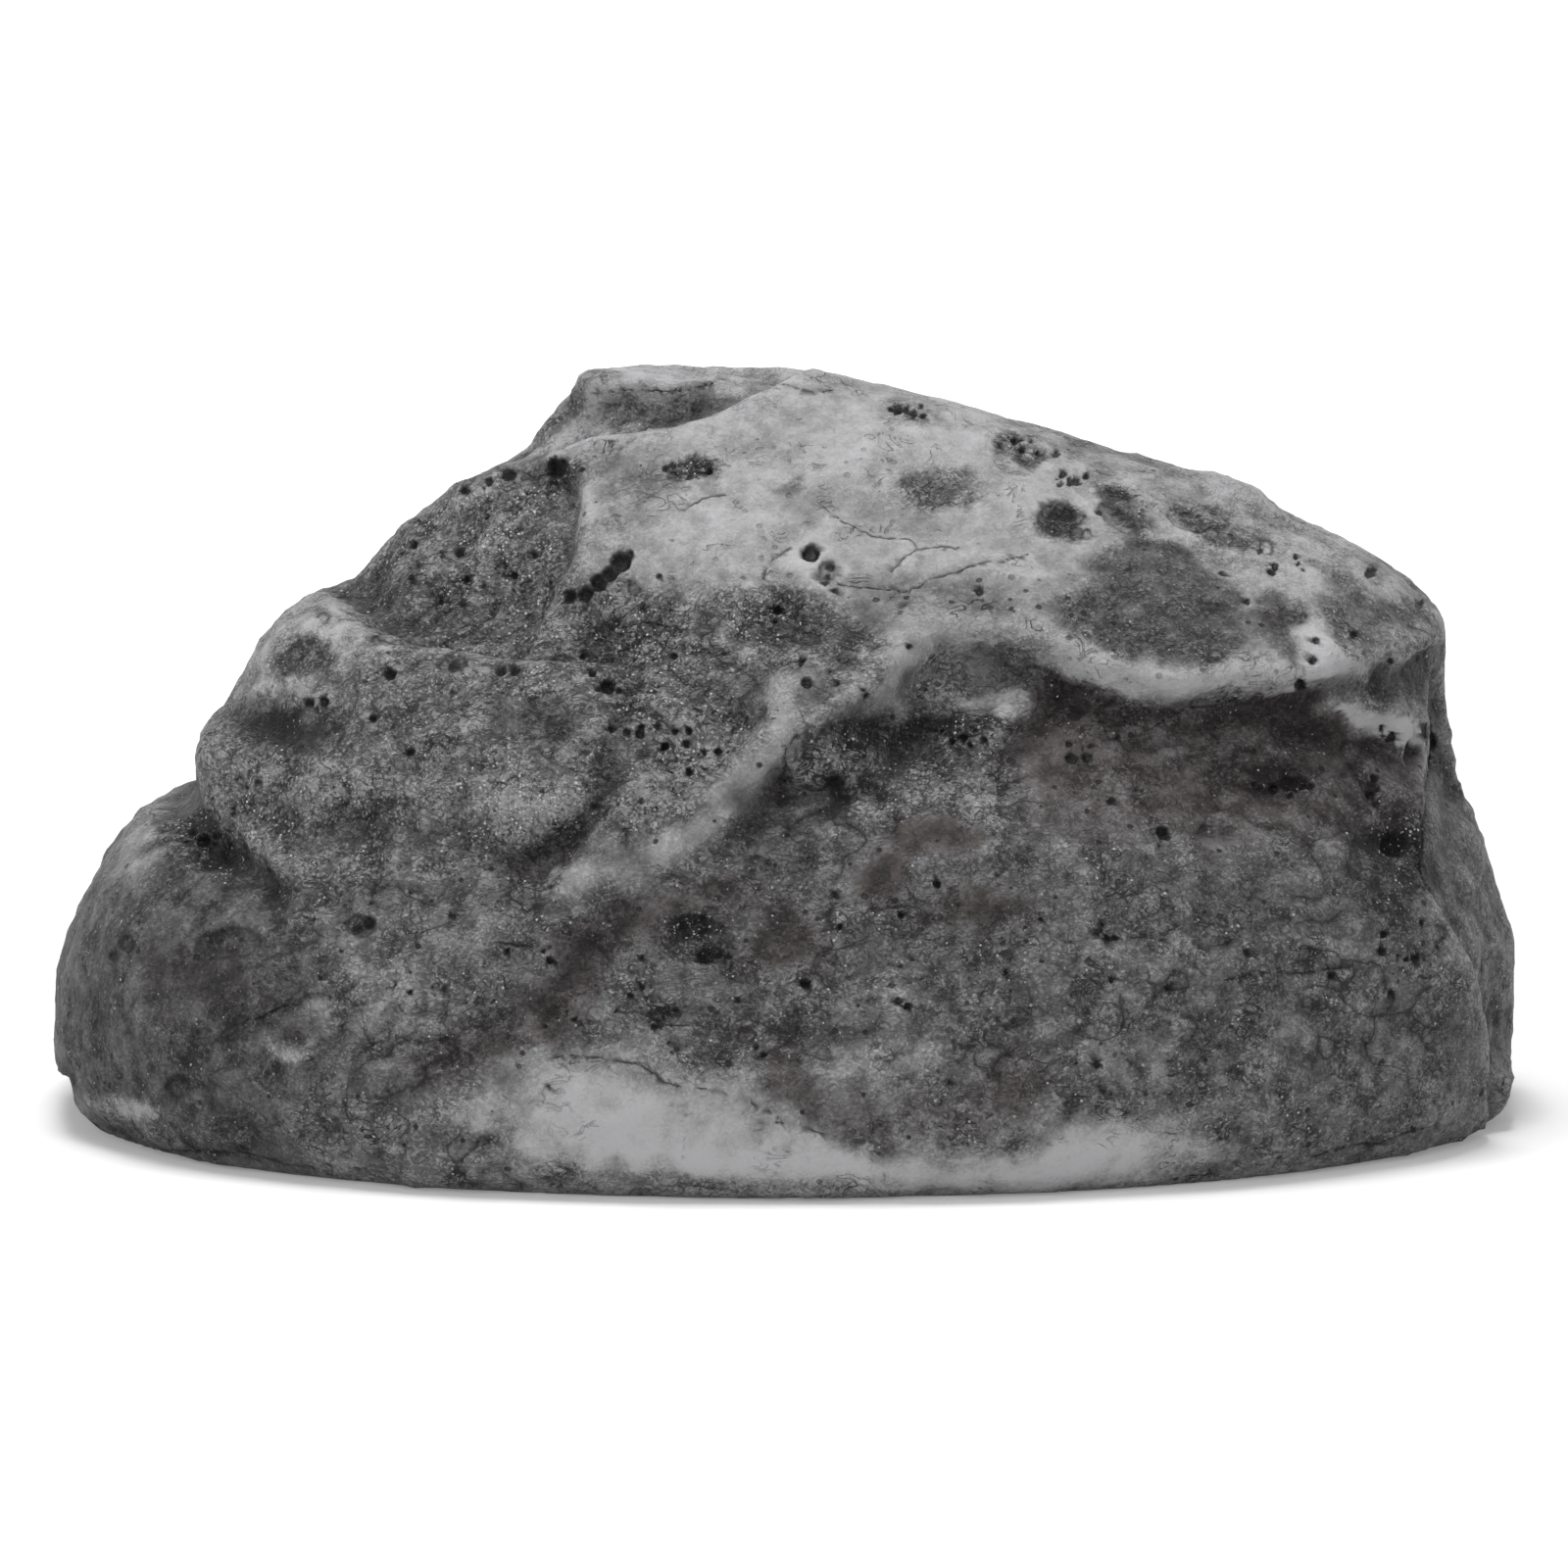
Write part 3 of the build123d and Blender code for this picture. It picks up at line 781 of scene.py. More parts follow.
# The back gets its own marks, placed on the picture from behind.
BACK_HOLES = [
    (690, 640, 15), (706, 646, 12), (719, 655, 17), (1040, 800, 14), (1056, 806, 10), (520, 930, 16),
    (860, 1040, 12), (1230, 1000, 18), (1244, 1014, 12), (980, 620, 10), (420, 820, 13),
]
BACK_HOLES += scattered([(720, 650, 50, 26, 8), (1050, 800, 60, 24, 9), (520, 940, 70, 50, 8),
                         (900, 1020, 120, 50, 10), (1250, 1000, 60, 60, 8), (900, 560, 80, 30, 5)])
BACK_RINGS = [
    (840, 520, 18), (612, 700, 22), (1120, 860, 16), (700, 1010, 20), (1290, 940, 22),
]
BACK_DENTS = [
    (900, 640, 24, 14, 10, 0.35), (1180, 700, 20, 12, -20, 0.35), (560, 1030, 26, 16, 0, 0.4),
    (1340, 1040, 16, 14, 0, 0.4),
]
BACK_CRACKS = [
    [(620, 610), (660, 628), (700, 626), (742, 644), (770, 640)],
    [(900, 820), (940, 836), (1000, 826), (1050, 842)],
    [(1180, 960), (1204, 1000), (1200, 1050), (1216, 1080)],
    [(420, 990), (470, 1004), (500, 1036), (548, 1040)],
]
MARKS = {False: (HOLES, RINGS, DENTS, CRACKS), True: (BACK_HOLES, BACK_RINGS, BACK_DENTS, BACK_CRACKS)}


def nearest_mark(clay, only_cracks):
    """Distance in pixels from the edge of the nearest small mark."""
    holes, rings, dents, cracks = MARKS[clay.behind]
    gap = np.full(len(clay.column), 1e9)
    for line in cracks:
        gap = np.minimum(gap, np.abs(from_line(clay, line)) / MM_PER_PIXEL)
    if only_cracks:
        return np.where(clay.front > 0.05, gap, 1e9)
    for column, row, width in holes + rings:
        gap = np.minimum(gap, np.hypot(clay.column - column, clay.row - row) - width / 2)
    for column, row, half_width, half_height, turn, depth in dents:
        share = from_spot(clay, (column, row, half_width, half_height, turn))
        gap = np.minimum(gap, (share - 1) * min(half_width, half_height))
    return np.where(clay.front > 0.05, gap, 1e9)


def refine(mesh, reach, only_cracks):
    """Halves the skin's squares within reach, in pixels, of a small mark."""
    near = nearest_mark(Clay(mesh), only_cracks) < reach
    near |= nearest_mark(Clay(mesh, behind=True), only_cracks) < reach
    skin = bmesh.new()
    skin.from_mesh(mesh)
    skin.verts.ensure_lookup_table()
    edges = [e for e in skin.edges if near[e.verts[0].index] and near[e.verts[1].index]]
    made = bmesh.ops.subdivide_edges(skin, edges=edges, cuts=1, use_grid_fill=True)
    fresh = [v for v in made["geom_inner"] if isinstance(v, bmesh.types.BMVert)]
    bmesh.ops.smooth_vert(skin, verts=fresh, factor=0.5, use_axis_x=True, use_axis_y=True, use_axis_z=True)
    idle = [v for v in skin.verts if len(v.link_edges) == 2]  # they would leave slivers between two faces
    bmesh.ops.dissolve_verts(skin, verts=idle)
    skin.to_mesh(mesh)
    skin.free()


for reach, only_cracks in ((7, False), (3.2, False), (2.6, True)):
    refine(rock.data, reach, only_cracks)
print("with fine skin round the marks:", len(rock.data.vertices), "points")

# %% [markdown]
# ## Rough grain
# The cast looks like a real stone, with grain at every scale. Noise from eight millimetres down to half a
# millimetre moves the skin: strongly in the gritty hollows, faintly on the worn pale crown. The
# cut pocket keeps its smooth walls.

# %% Rough grain
GRAIN = ((0.13, 0.55, 3), (0.36, 0.3, 2), (0.95, 0.22, 2))  # how often per millimetre, how high, octaves


def stone_noise(points, per_mm, octaves, shift=0.0):
    """Fractal noise at the given points, about -1 to 1."""
    seeds = points * per_mm + shift
    return np.array([noise.fractal(Vector(p), 1.0, 2.0, octaves) for p in seeds])


def outside_mask(clay):
    """1 on the rock's weathered outside, 0 on the cut pocket and the ground face."""
    cut_away = np.zeros(len(clay.points), bool)
    for size, corner, top, centre in CUTS + PLUG_HOLES:
        cut_away |= (plan_gap(clay.points, size, corner, centre) < 0.1) & (clay.points[:, 2] < top + 0.1)
    return np.where(cut_away, 0.0, smooth_step(0.0, 0.5, clay.points[:, 2]))


print("grain at", len(GRAIN), "sizes")

# %% [markdown]
# ## Where the paint lies
# The resin is pale grey. A dark wash was brushed on and wiped off the high parts, so it stays in hollows
# and along the foot, with ragged borders. Zones drawn on the photo say how dark the wash is, from 0, bare
# resin, to 1, black. Noise bends their borders, and the back and the top get blots of the same size.

# %% Where the paint lies
ZONES = {  # name: how dark, how gritty, softness of the border in pixels, outline on the photo
    "foot and front": (0.48, 0.55, 40, [(40, 880), (600, 900), (800, 800), (1560, 800), (1560, 1260),
        (40, 1260)]),
    "low lobe": (0.7, 0.45, 34, [(40, 1180), (40, 900), (150, 800), (210, 806), (240, 900), (330, 960),
        (300, 1200)]),
    "low lobe's pale shoulder": (0.41, 0.35, 16, [(104, 890), (129, 852), (165, 822), (200, 812),
        (196, 834), (165, 862), (140, 905)]),
    "left mass": (0.36, 0.75, 26, [(204, 740), (206, 690), (270, 640), (300, 610), (362, 604), (376, 640),
        (421, 664), (476, 671), (545, 678), (600, 672), (612, 740), (606, 826), (580, 852), (500, 872),
        (440, 896), (350, 905), (280, 893), (240, 862), (206, 800)]),
    "left shelf": (0.27, 0.3, 24, [(232, 705), (262, 655), (298, 620), (350, 616), (384, 660), (340, 690),
        (300, 725), (240, 728)]),
    "hollow facet": (0.29, 0.9, 14, [(385, 555), (400, 532), (483, 494), (560, 480), (590, 520), (583, 577),
        (556, 640), (562, 680), (449, 670), (387, 642), (362, 604)]),
    "facet's pale rim": (0.4, 0.6, 9, [(388, 548), (400, 524), (440, 506), (500, 486), (506, 498),
        (450, 522), (418, 546), (398, 566)]),
    "crown": (0.24, 0.08, 34, [(592, 450), (680, 440), (745, 416), (800, 378), (890, 384), (980, 400),
        (1060, 432), (1100, 466), (1150, 478), (1170, 520), (1128, 560), (1104, 606), (1078, 640),
        (1020, 640), (958, 650), (930, 680), (880, 640), (850, 606), (770, 604), (720, 596), (650, 590),
        (596, 560)]),
    "right crown": (0.28, 0.3, 16, [(1100, 466), (1200, 478), (1300, 520), (1400, 560), (1470, 640),
        (1476, 704), (1352, 704), (1190, 710), (1080, 680), (1050, 640), (1100, 600), (1124, 560)]),
    "crown's lower shade": (0.48, 0.2, 24, [(840, 596), (900, 590), (1080, 590), (1092, 640), (1020, 646),
        (958, 652), (930, 684), (880, 644)]),
    "crown's left shade": (0.4, 0.25, 22, [(590, 446), (660, 442), (690, 470), (660, 520), (650, 570),
        (598, 580), (588, 520)]),
    "rear lump": (0.0, 0.5, 8, [(520, 470), (560, 445), (596, 404), (660, 374), (800, 380), (780, 396),
        (740, 412), (672, 432), (618, 442), (600, 448), (560, 462)]),
    "rear lump's pale top": (0.15, 0.3, 7, [(590, 408), (630, 380), (680, 376), (700, 386), (640, 394),
        (610, 412)]),
    "rough field": (0.3, 0.95, 20, [(566, 604), (640, 606), (720, 616), (726, 700), (700, 742), (630, 735),
        (604, 700), (560, 680), (552, 640)]),
    "rough field, right": (0.38, 0.7, 16, [(720, 610), (850, 604), (900, 650), (905, 690), (830, 684),
        (760, 690), (722, 680)]),
    "pale rib": (0.5, 0.12, 16, [(800, 690), (826, 690), (812, 730), (802, 770), (770, 812), (726, 848),
        (680, 872), (664, 866), (700, 834), (752, 792), (780, 752), (786, 712)]),
    "pale rib's foot": (0.5, 0.2, 20, [(700, 850), (650, 886), (580, 916), (566, 900), (640, 862),
        (700, 832)]),
    "valley": (0.15, 1.0, 18, [(730, 716), (778, 724), (768, 760), (730, 792), (690, 822), (640, 850),
        (610, 846), (622, 810), (660, 772), (700, 740)]),
    "under the crown": (0.14, 0.3, 26, [(966, 656), (1000, 668), (1060, 684), (1056, 720), (1000, 716),
        (930, 722), (880, 752), (826, 776), (812, 756), (868, 726), (920, 690)]),
    "oval lobe": (0.47, 0.9, 10, [(806, 766), (830, 745), (880, 732), (912, 738), (906, 766), (880, 788),
        (840, 798), (814, 800)]),
    "hollow's grey": (0.36, 0.75, 14, [(880, 790), (930, 730), (1040, 740), (1060, 800), (960, 850),
        (860, 850)]),
    "hollow wall": (0.61, 0.45, 26, [(1052, 706), (1080, 690), (1134, 712), (1192, 718), (1323, 710),
        (1352, 706), (1380, 738), (1448, 762), (1446, 850), (1380, 846), (1290, 856), (1180, 850),
        (1120, 850), (1056, 830), (1040, 760)]),
    "dark field at the right": (0.57, 0.5, 9, [(1123, 565), (1151, 553), (1202, 556), (1230, 582),
        (1261, 599), (1258, 627), (1275, 647), (1250, 672), (1233, 682), (1175, 675), (1123, 661),
        (1082, 640), (1076, 613), (1108, 596)]),
    "second dark field": (0.6, 0.5, 8, [(1275, 613), (1299, 602), (1330, 623), (1330, 647), (1337, 675),
        (1316, 675), (1295, 654), (1268, 627)]),
    "third dark field": (0.45, 0.5, 9, [(1354, 592), (1399, 606), (1433, 613), (1461, 633), (1476, 661),
        (1470, 722), (1450, 730), (1399, 716), (1364, 699), (1386, 682), (1366, 651), (1347, 623)]),
    "shoulder at the right": (0.16, 0.35, 14, [(1190, 500), (1240, 512), (1300, 536), (1360, 566),
        (1350, 592), (1280, 590), (1220, 560), (1170, 540)]),
    "dark slashes": (0.6, 0.7, 8, [(1122, 500), (1150, 505), (1178, 535), (1168, 552), (1140, 534),
        (1126, 520)]),
    "dark slash, right": (0.42, 0.6, 8, [(1196, 508), (1240, 516), (1282, 548), (1270, 562), (1226, 546),
        (1200, 530)]),
    "rear lump, right": (0.12, 0.5, 8, [(1206, 478), (1270, 478), (1340, 520), (1400, 556), (1386, 560),
        (1313, 530), (1240, 500)]),
    "pale second ledge": (0.02, 0.1, 7, [(1366, 722), (1410, 728), (1450, 736), (1452, 760), (1416, 758),
        (1380, 748)]),
    "pale wedge": (0.17, 0.1, 12, [(1322, 642), (1351, 635), (1388, 682), (1354, 694), (1306, 694),
        (1322, 676)]),
    "bright corner edge": (0.36, 0.4, 7, [(1452, 758), (1474, 760), (1468, 830), (1462, 890), (1446, 892),
        (1450, 830)]),
    "pale lip": (0.26, 0.1, 7, [(1060, 662), (1084, 662), (1140, 686), (1200, 698), (1300, 694),
        (1352, 692), (1320, 705), (1200, 711), (1130, 702), (1080, 686)]),
    "right corner": (0.72, 0.8, 16, [(1380, 790), (1452, 810), (1470, 900), (1420, 960), (1370, 880)]),
    "dark band": (0.79, 0.4, 26, [(596, 980), (622, 1000), (590, 1050), (546, 1084), (430, 1104),
        (424, 1086), (520, 1064), (562, 1020)]),
    "brown streak": (0.78, 0.35, 26, [(560, 976), (614, 940), (680, 910), (760, 892), (770, 912),
        (690, 940), (600, 985)]),
    "band over the lobe": (0.6, 0.7, 12, [(236, 890), (330, 898), (336, 918), (236, 914)]),
    "smooth dark patch": (0.93, 0.25, 22, [(160, 986), (250, 976), (262, 1026), (180, 1036)]),
    "dark washes, left": (0.76, 0.6, 20, [(246, 726), (300, 716), (338, 744), (330, 772), (256, 762)]),
    "dark washes, middle": (0.74, 0.5, 20, [(508, 716), (560, 708), (592, 734), (560, 756), (512, 746)]),
    "pits' corner": (0.64, 0.9, 12, [(166, 846), (216, 826), (244, 868), (236, 896), (176, 900)]),
    "pale patches, foot": (0.28, 0.5, 22, [(352, 984), (420, 986), (424, 1052), (360, 1050)]),
    "pale foot's ends": (0.3, 0.15, 24, [(500, 1120), (540, 1076), (640, 1080), (700, 1104), (760, 1112),
        (830, 1150), (930, 1180), (1010, 1180), (1070, 1150), (1150, 1138), (1226, 1146), (1240, 1180),
        (1150, 1210), (760, 1210), (520, 1196)]),
    "pale foot": (0.14, 0.06, 16, [(556, 1112), (570, 1092), (610, 1088), (649, 1096), (674, 1112),
        (731, 1126), (774, 1146), (817, 1162), (856, 1171), (903, 1182), (942, 1190), (1000, 1188),
        (1046, 1180), (1086, 1158), (1140, 1150), (1176, 1156), (1170, 1184), (1120, 1196), (950, 1204),
        (760, 1200), (620, 1184), (560, 1170), (548, 1140)]),
    "stain over the foot": (0.54, 0.45, 18, [(790, 1096), (850, 1110), (960, 1120), (1066, 1124),
        (1030, 1158), (985, 1178), (935, 1176), (860, 1156), (806, 1136)]),
    "foot's dark edge": (0.3, 0.6, 5, [(540, 1196), (640, 1200), (760, 1208), (950, 1216), (1200, 1206),
        (1400, 1186), (1400, 1240), (540, 1240)]),
}
BLOTS = {  # name: column, row, half-width, half-height, turn, how dark, how much shows, how gritty
    "gritty patch 1": (702, 480, 26, 13, 14, 0.38, 0.9, 1),
    "gritty patch 2": (816, 496, 17, 9, 0, 0.5, 0.6, 0.7),
    "gritty patch 3": (957, 504, 46, 26, 0, 0.34, 0.9, 0.8),
    "gritty patch 4": (1040, 458, 34, 15, -8, 0.28, 0.9, 0.9),
    "round dark": (1078, 528, 24, 22, 0, 0.6, 0.95, 0.9),
    "crest speckle": (926, 418, 26, 12, -15, 0.05, 0.9, 0.9),
    "sparkling dent": (799, 634, 46, 32, 0, 0.32, 1.0, 1.0),
    "gritty patch 5": (964, 694, 32, 30, 0, 0.0, 0.8, 0.8),
    "shelf's gritty patch": (307, 670, 34, 24, 0, 0.55, 0.8, 0.9),
    "facet's corner": (425, 612, 60, 26, -20, 0.56, 0.8, 0.7),
    "ring under the edge": (568, 477, 20, 16, 0, 0.74, 0.9, 0.9),
    "stain 1": (964, 857, 48, 18, 0, 0.92, 0.95, 0.2), "stain 2": (900, 892, 38, 20, 30, 0.94, 0.9, 0.2),
    "stain 3": (1006, 932, 50, 20, 0, 0.9, 0.9, 0.3), "stain 4": (802, 962, 38, 36, 0, 0.9, 0.9, 0.2),
    "stain 5": (796, 1104, 26, 30, 0, 0.8, 0.7, 0.4), "stain 6": (1043, 1115, 30, 34, 0, 0.84, 0.6, 0.4),
    "pit field 1": (706, 946, 34, 20, 0, 0.76, 0.9, 1), "pit field 2": (728, 976, 26, 14, 0, 0.72, 0.8, 1),
    "pit field 3": (676, 1036, 24, 14, 0, 0.56, 0.8, 1),
    "dark corner": (60, 1110, 18, 34, -20, 1.0, 1.0, 0.6),
    "white scuff": (1293, 1086, 26, 16, 0, 0.0, 0.85, 0.9),
    "pale scuff": (128, 1128, 40, 11, -8, 0.0, 0.8, 0.5),
    "pale lobe 1": (1249, 871, 34, 20, 0, 0.68, 0.8, 0.2),
    "pale lobe 2": (1184, 896, 26, 20, 0, 0.61, 0.8, 0.2),
    "bright rings": (322, 1023, 22, 13, 0, 0.12, 0.8, 0.5),
    "pale patch": (290, 1069, 38, 13, 0, 0.0, 0.7, 0.4),
    "pale sparkle 1": (318, 815, 70, 34, 0, 0.25, 0.7, 1.0),
    "pale sparkle 2": (531, 812, 58, 44, 0, 0.08, 0.7, 1.0),
    "darkest hollow": (1084, 778, 36, 40, 0, 0.86, 0.9, 0.2),
    "corner pocket": (1423, 858, 22, 20, 0, 0.95, 0.9, 0.8),
    "oblong dent": (236, 964, 36, 22, 5, 0.62, 0.5, 0.4),
    "hollow, dark rim": (975, 738, 48, 12, -4, 0.8, 0.8, 1.0),
    "right foot": (1470, 1150, 60, 20, 12, 0.46, 0.8, 0.5),
    "left foot": (170, 1160, 90, 14, -8, 0.58, 0.8, 0.6),
    "gritty dark": (1310, 798, 36, 20, 0, 0.84, 0.8, 1.0),
    "pale wall": (1150, 1000, 90, 50, 0, 0.46, 0.6, 0.5),
    "dark wall": (1320, 900, 70, 40, 20, 0.66, 0.6, 0.5),
    "pale front": (900, 1010, 60, 26, 10, 0.38, 0.6, 0.4),
    "pale front 2": (640, 960, 40, 18, 40, 0.8, 0.5, 0.4),
    "pale front 3": (916, 1082, 90, 24, 6, 0.25, 0.7, 0.4),
    "pale front 4": (1156, 1084, 50, 26, 0, 0.3, 0.7, 0.4),
    "pale foot's left end": (486, 1146, 40, 22, 0, 0.29, 0.7, 0.3),
}


def inside(column, row, outline, softness):
    """1 inside an outline on the photo, 0 outside it, with a soft border."""
    within = np.zeros(len(column), bool)
    gap = np.full(len(column), 1e9)
    for (c0, r0), (c1, r1) in zip(outline, outline[1:] + outline[:1]):
        run, drop = c1 - c0, r1 - r0
        share = ((column - c0) * run + (row - r0) * drop) / (run * run + drop * drop)
        share = np.clip(share, 0, 1)
        gap = np.minimum(gap, np.hypot(column - c0 - share * run, row - r0 - share * drop))
        if drop:
            crosses = ((r0 > row) != (r1 > row)) & (column < c0 + run * (row - r0) / drop)
            within ^= crosses
    return smooth_step(-softness, softness, np.where(within, gap, -gap))


BORDER_WAVES = ((0.12, 11.0), (0.45, 9.0))  # how often per millimetre, and how far in pixels
BACK_WASH, BACK_BLOTS, BACK_BLOTS_PER_MM = 0.42, 0.34, 0.075
TOP_PALER, TOP_FROM, TOP_TO = 0.3, 24, 40  # the wash thins towards the top of the back


def bent_places(clay):
    """Columns and rows, shifted by waves so that the borders drawn on them come out ragged."""
    column, row = clay.column.copy(), clay.row.copy()
    for per_mm, reach in BORDER_WAVES:
        column += reach * stone_noise(clay.points, per_mm, 4, 11.0)
        row += reach * stone_noise(clay.points, per_mm, 4, 47.0)
    return column, row


def painted(clay, column, row):
    """How dark the wash is, and how gritty the skin, at each point of the rock."""
    wash, grit = np.full(len(column), 0.5), np.full(len(column), 0.5)
    for dark, rough, softness, outline in ZONES.values():
        mask = inside(column, row, outline, softness)
        wash += (dark - wash) * mask
        grit += (rough - grit) * mask
    for *spot, dark, share, rough in BLOTS.values():
        mask = share * smooth_step(1.3, 0.5, spot_share(column, row, spot))
        wash += (dark - wash) * mask
        grit += (rough - grit) * mask
    behind = BACK_WASH + BACK_BLOTS * stone_noise(clay.points, BACK_BLOTS_PER_MM, 5, 3.0)
    behind -= TOP_PALER * smooth_step(TOP_FROM, TOP_TO, clay.points[:, 2])
    facing = smooth_step(-0.25, 0.05, clay.normals @ toward_camera)
    rough_behind = smooth_step(0.15, 0.6, behind)
    return behind + (wash - behind) * facing, rough_behind + (grit - rough_behind) * facing


CREASE_PER_MM, CREASE_SHIFT, CREASE_DEPTH, CREASE_WIDTH = 0.3, 91.0, 0.13, 0.13
BED_SQUASH = np.array([1.0, 1.0, 1.5])  # the creases run more along the beds than across them


def creases(clay, grit):
    """Noise that is zero along every crease, and how open the creases are at each point."""
    folds = stone_noise(clay.points * BED_SQUASH, CREASE_PER_MM, 2, CREASE_SHIFT)
    opened = smooth_step(0.04, 0.26, stone_noise(clay.points, 0.13, 2, 133.0))
    return folds, opened * smooth_step(0.25, 0.6, grit)


clay = Clay(rock.data)
wash, grit = painted(clay, *bent_places(clay))
outside = outside_mask(clay)
for per_mm, height, octaves in GRAIN:
    lumps = stone_noise(clay.points, per_mm, octaves, 5.0 + per_mm)
    clay.push(outside * height * lumps * (0.3 + 0.7 * grit))
folds, opened = creases(clay, grit)
clay.push(-outside * CREASE_DEPTH * opened * np.exp(-((folds / CREASE_WIDTH) ** 2)))
print("wash from", round(float(wash.min()), 2), "to", round(float(wash.max()), 2))

# %% [markdown]
# ## Pressing the small marks in
# A hole is half a ball with a sharp rim. A ring is a shallow bowl. A crack is a groove about a
# tenth of a millimetre wide. `ink` notes how much black paint the mark holds, for the material to show.

# %% Pressing the small marks in
RAGGED, RAGGED_PER_MM = 2.0, 1.4  # how far the marks' rims wander, in pixels, and how often
HOLE_DEPTH, RING_DEPTH = 0.42, 0.16  # as a share of the mark's width
CRACK_DEPTH, CRACK_WIDTH = 0.1, 0.062


def press_marks(mesh, behind):
    """Sinks holes, rings, dents and cracks, and returns how black each point is."""
    clay = Clay(mesh, behind)
    holes, rings, dents, cracks = MARKS[behind]
    visible = smooth_step(0.0, 0.12, clay.front)
    sink, ink = np.zeros(len(clay.column)), np.zeros(len(clay.column))
    column = clay.column + RAGGED * stone_noise(clay.points, RAGGED_PER_MM, 3, 17.0)
    row = clay.row + RAGGED * stone_noise(clay.points, RAGGED_PER_MM, 3, 29.0)
    for c, r, width in holes:
        share = np.hypot(column - c, row - r) / (width / 2)
        depth = HOLE_DEPTH * width * MM_PER_PIXEL
        sink = np.maximum(sink, depth * np.sqrt(np.clip(1 - share**2, 0, 1)))
        ink = np.maximum(ink, smooth_step(1.12, 0.85, share))
    for c, r, width in rings:
        share = np.hypot(column - c, row - r) / (width / 2)
        sink = np.maximum(sink, RING_DEPTH * width * MM_PER_PIXEL * smooth_step(1.15, 0.8, share))
        ink = np.maximum(ink, 0.85 * np.exp(-(((share - 1) / 0.22) ** 2)))
    for *spot, depth in dents:
        share = spot_share(column, row, spot)
        sink = np.maximum(sink, depth * smooth_step(1.2, 0.6, share))
        ink = np.maximum(ink, 0.7 * np.exp(-(((share - 0.97) / 0.13) ** 2)))
    clay.column, clay.row = column, row
    width = CRACK_WIDTH * np.clip(0.9 + 0.9 * stone_noise(clay.points, 1.3, 2, 61.0), 0.35, 1.6)
    for line in cracks:
        core = np.exp(-((from_line(clay, line) / width) ** 2))
        sink = np.maximum(sink, CRACK_DEPTH * core)
        ink = np.maximum(ink, 0.8 * core)
    clay.push(-sink * visible)
    return ink * visible


ink = press_marks(rock.data, False)
ink = np.maximum(ink, press_marks(rock.data, True))
print("points with black in them:", int((ink > 0.5).sum()))

# %% [markdown]
# ## High and low places
# Handling wears the wash off high places, and it pools in low ones; the low places are also darkened with
# painted shade. Comparing each point with the average of its neighbours says which it is. Two widths of
# neighbourhood are used: one for small crumbs and one for folds of a few millimetres.

# %% High and low places
def neighbour_average(edges, count, values, rounds):
    """Averages values over neighbouring points, again and again."""
    degree = np.bincount(edges.ravel(), minlength=count)[:, None] + 1.0
    for _ in range(rounds):
        total = values.copy()
        for k in range(values.shape[1]):
            total[:, k] += np.bincount(edges[:, 0], weights=values[edges[:, 1], k], minlength=count)
            total[:, k] += np.bincount(edges[:, 1], weights=values[edges[:, 0], k], minlength=count)
        values = total / degree
    return values


def height_over_surroundings(clay, rounds, scale_mm):
    count = len(clay.points)
    edges = np.empty(len(clay.mesh.edges) * 2, np.int32)
    clay.mesh.edges.foreach_get("vertices", edges)
    average = neighbour_average(edges.reshape(-1, 2), count, clay.points, rounds)
    return np.clip(((clay.points - average) * clay.normals).sum(1) / scale_mm, -1, 1)


def store(mesh, name, values):
    """Keeps a value for each point, where the material can read it."""
    layer = mesh.attributes.new(name, "FLOAT", "POINT")
    layer.data.foreach_set("value", np.asarray(values, np.float32))


WARM_ZONES = ("brown streak", "dark band", "stain over the foot", "hollow wall")
WARM_BLOTS = ("stain 1", "stain 2", "stain 3", "stain 4", "stain 5", "stain 6")
CRUMBS, FOLDS = (4, 0.09), (28, 0.35)  # rounds of averaging, and the height in millimetres that counts as 1
POCKET_WASH, POCKET_GRIT = 0.45, 0.4
SHARP_EDGE = math.radians(68)  # steeper folds in the skin, such as the pocket's edges, are shaded sharp

clay = Clay(rock.data)
column, row = bent_places(clay)
wash, grit = painted(clay, column, row)
# crest is above 0 on high places and below 0 in low ones; the material pales the high ones and darkens the
# low ones with painted shade
crest = height_over_surroundings(clay, *CRUMBS) * 0.5 + height_over_surroundings(clay, *FOLDS) * 0.5
warmth = np.zeros(len(wash))
for name in WARM_ZONES:
    warmth = np.maximum(warmth, inside(column, row, ZONES[name][3], 30))
for name in WARM_BLOTS:
    warmth = np.maximum(warmth, smooth_step(1.5, 0.5, spot_share(column, row, BLOTS[name][:5])))
warmth = np.where(clay.front > 0, warmth, 0.4)
weathered = outside_mask(clay)
folds, opened = creases(clay, grit)
wash = np.where(weathered > 0, wash, POCKET_WASH)
grit = np.where(weathered > 0, grit, POCKET_GRIT)
store(rock.data, "wash", wash)
store(rock.data, "grit", grit)
store(rock.data, "ink", ink)
store(rock.data, "folds", folds)
store(rock.data, "opened", opened * weathered)
store(rock.data, "crest", crest * weathered)
store(rock.data, "warmth", warmth)
store(rock.data, "weathered", weathered)
rock.data.shade_smooth()
rock.data.set_sharp_from_angle(angle=SHARP_EDGE)
print("crest from", round(float(crest.min()), 2), "to", round(float(crest.max()), 2))
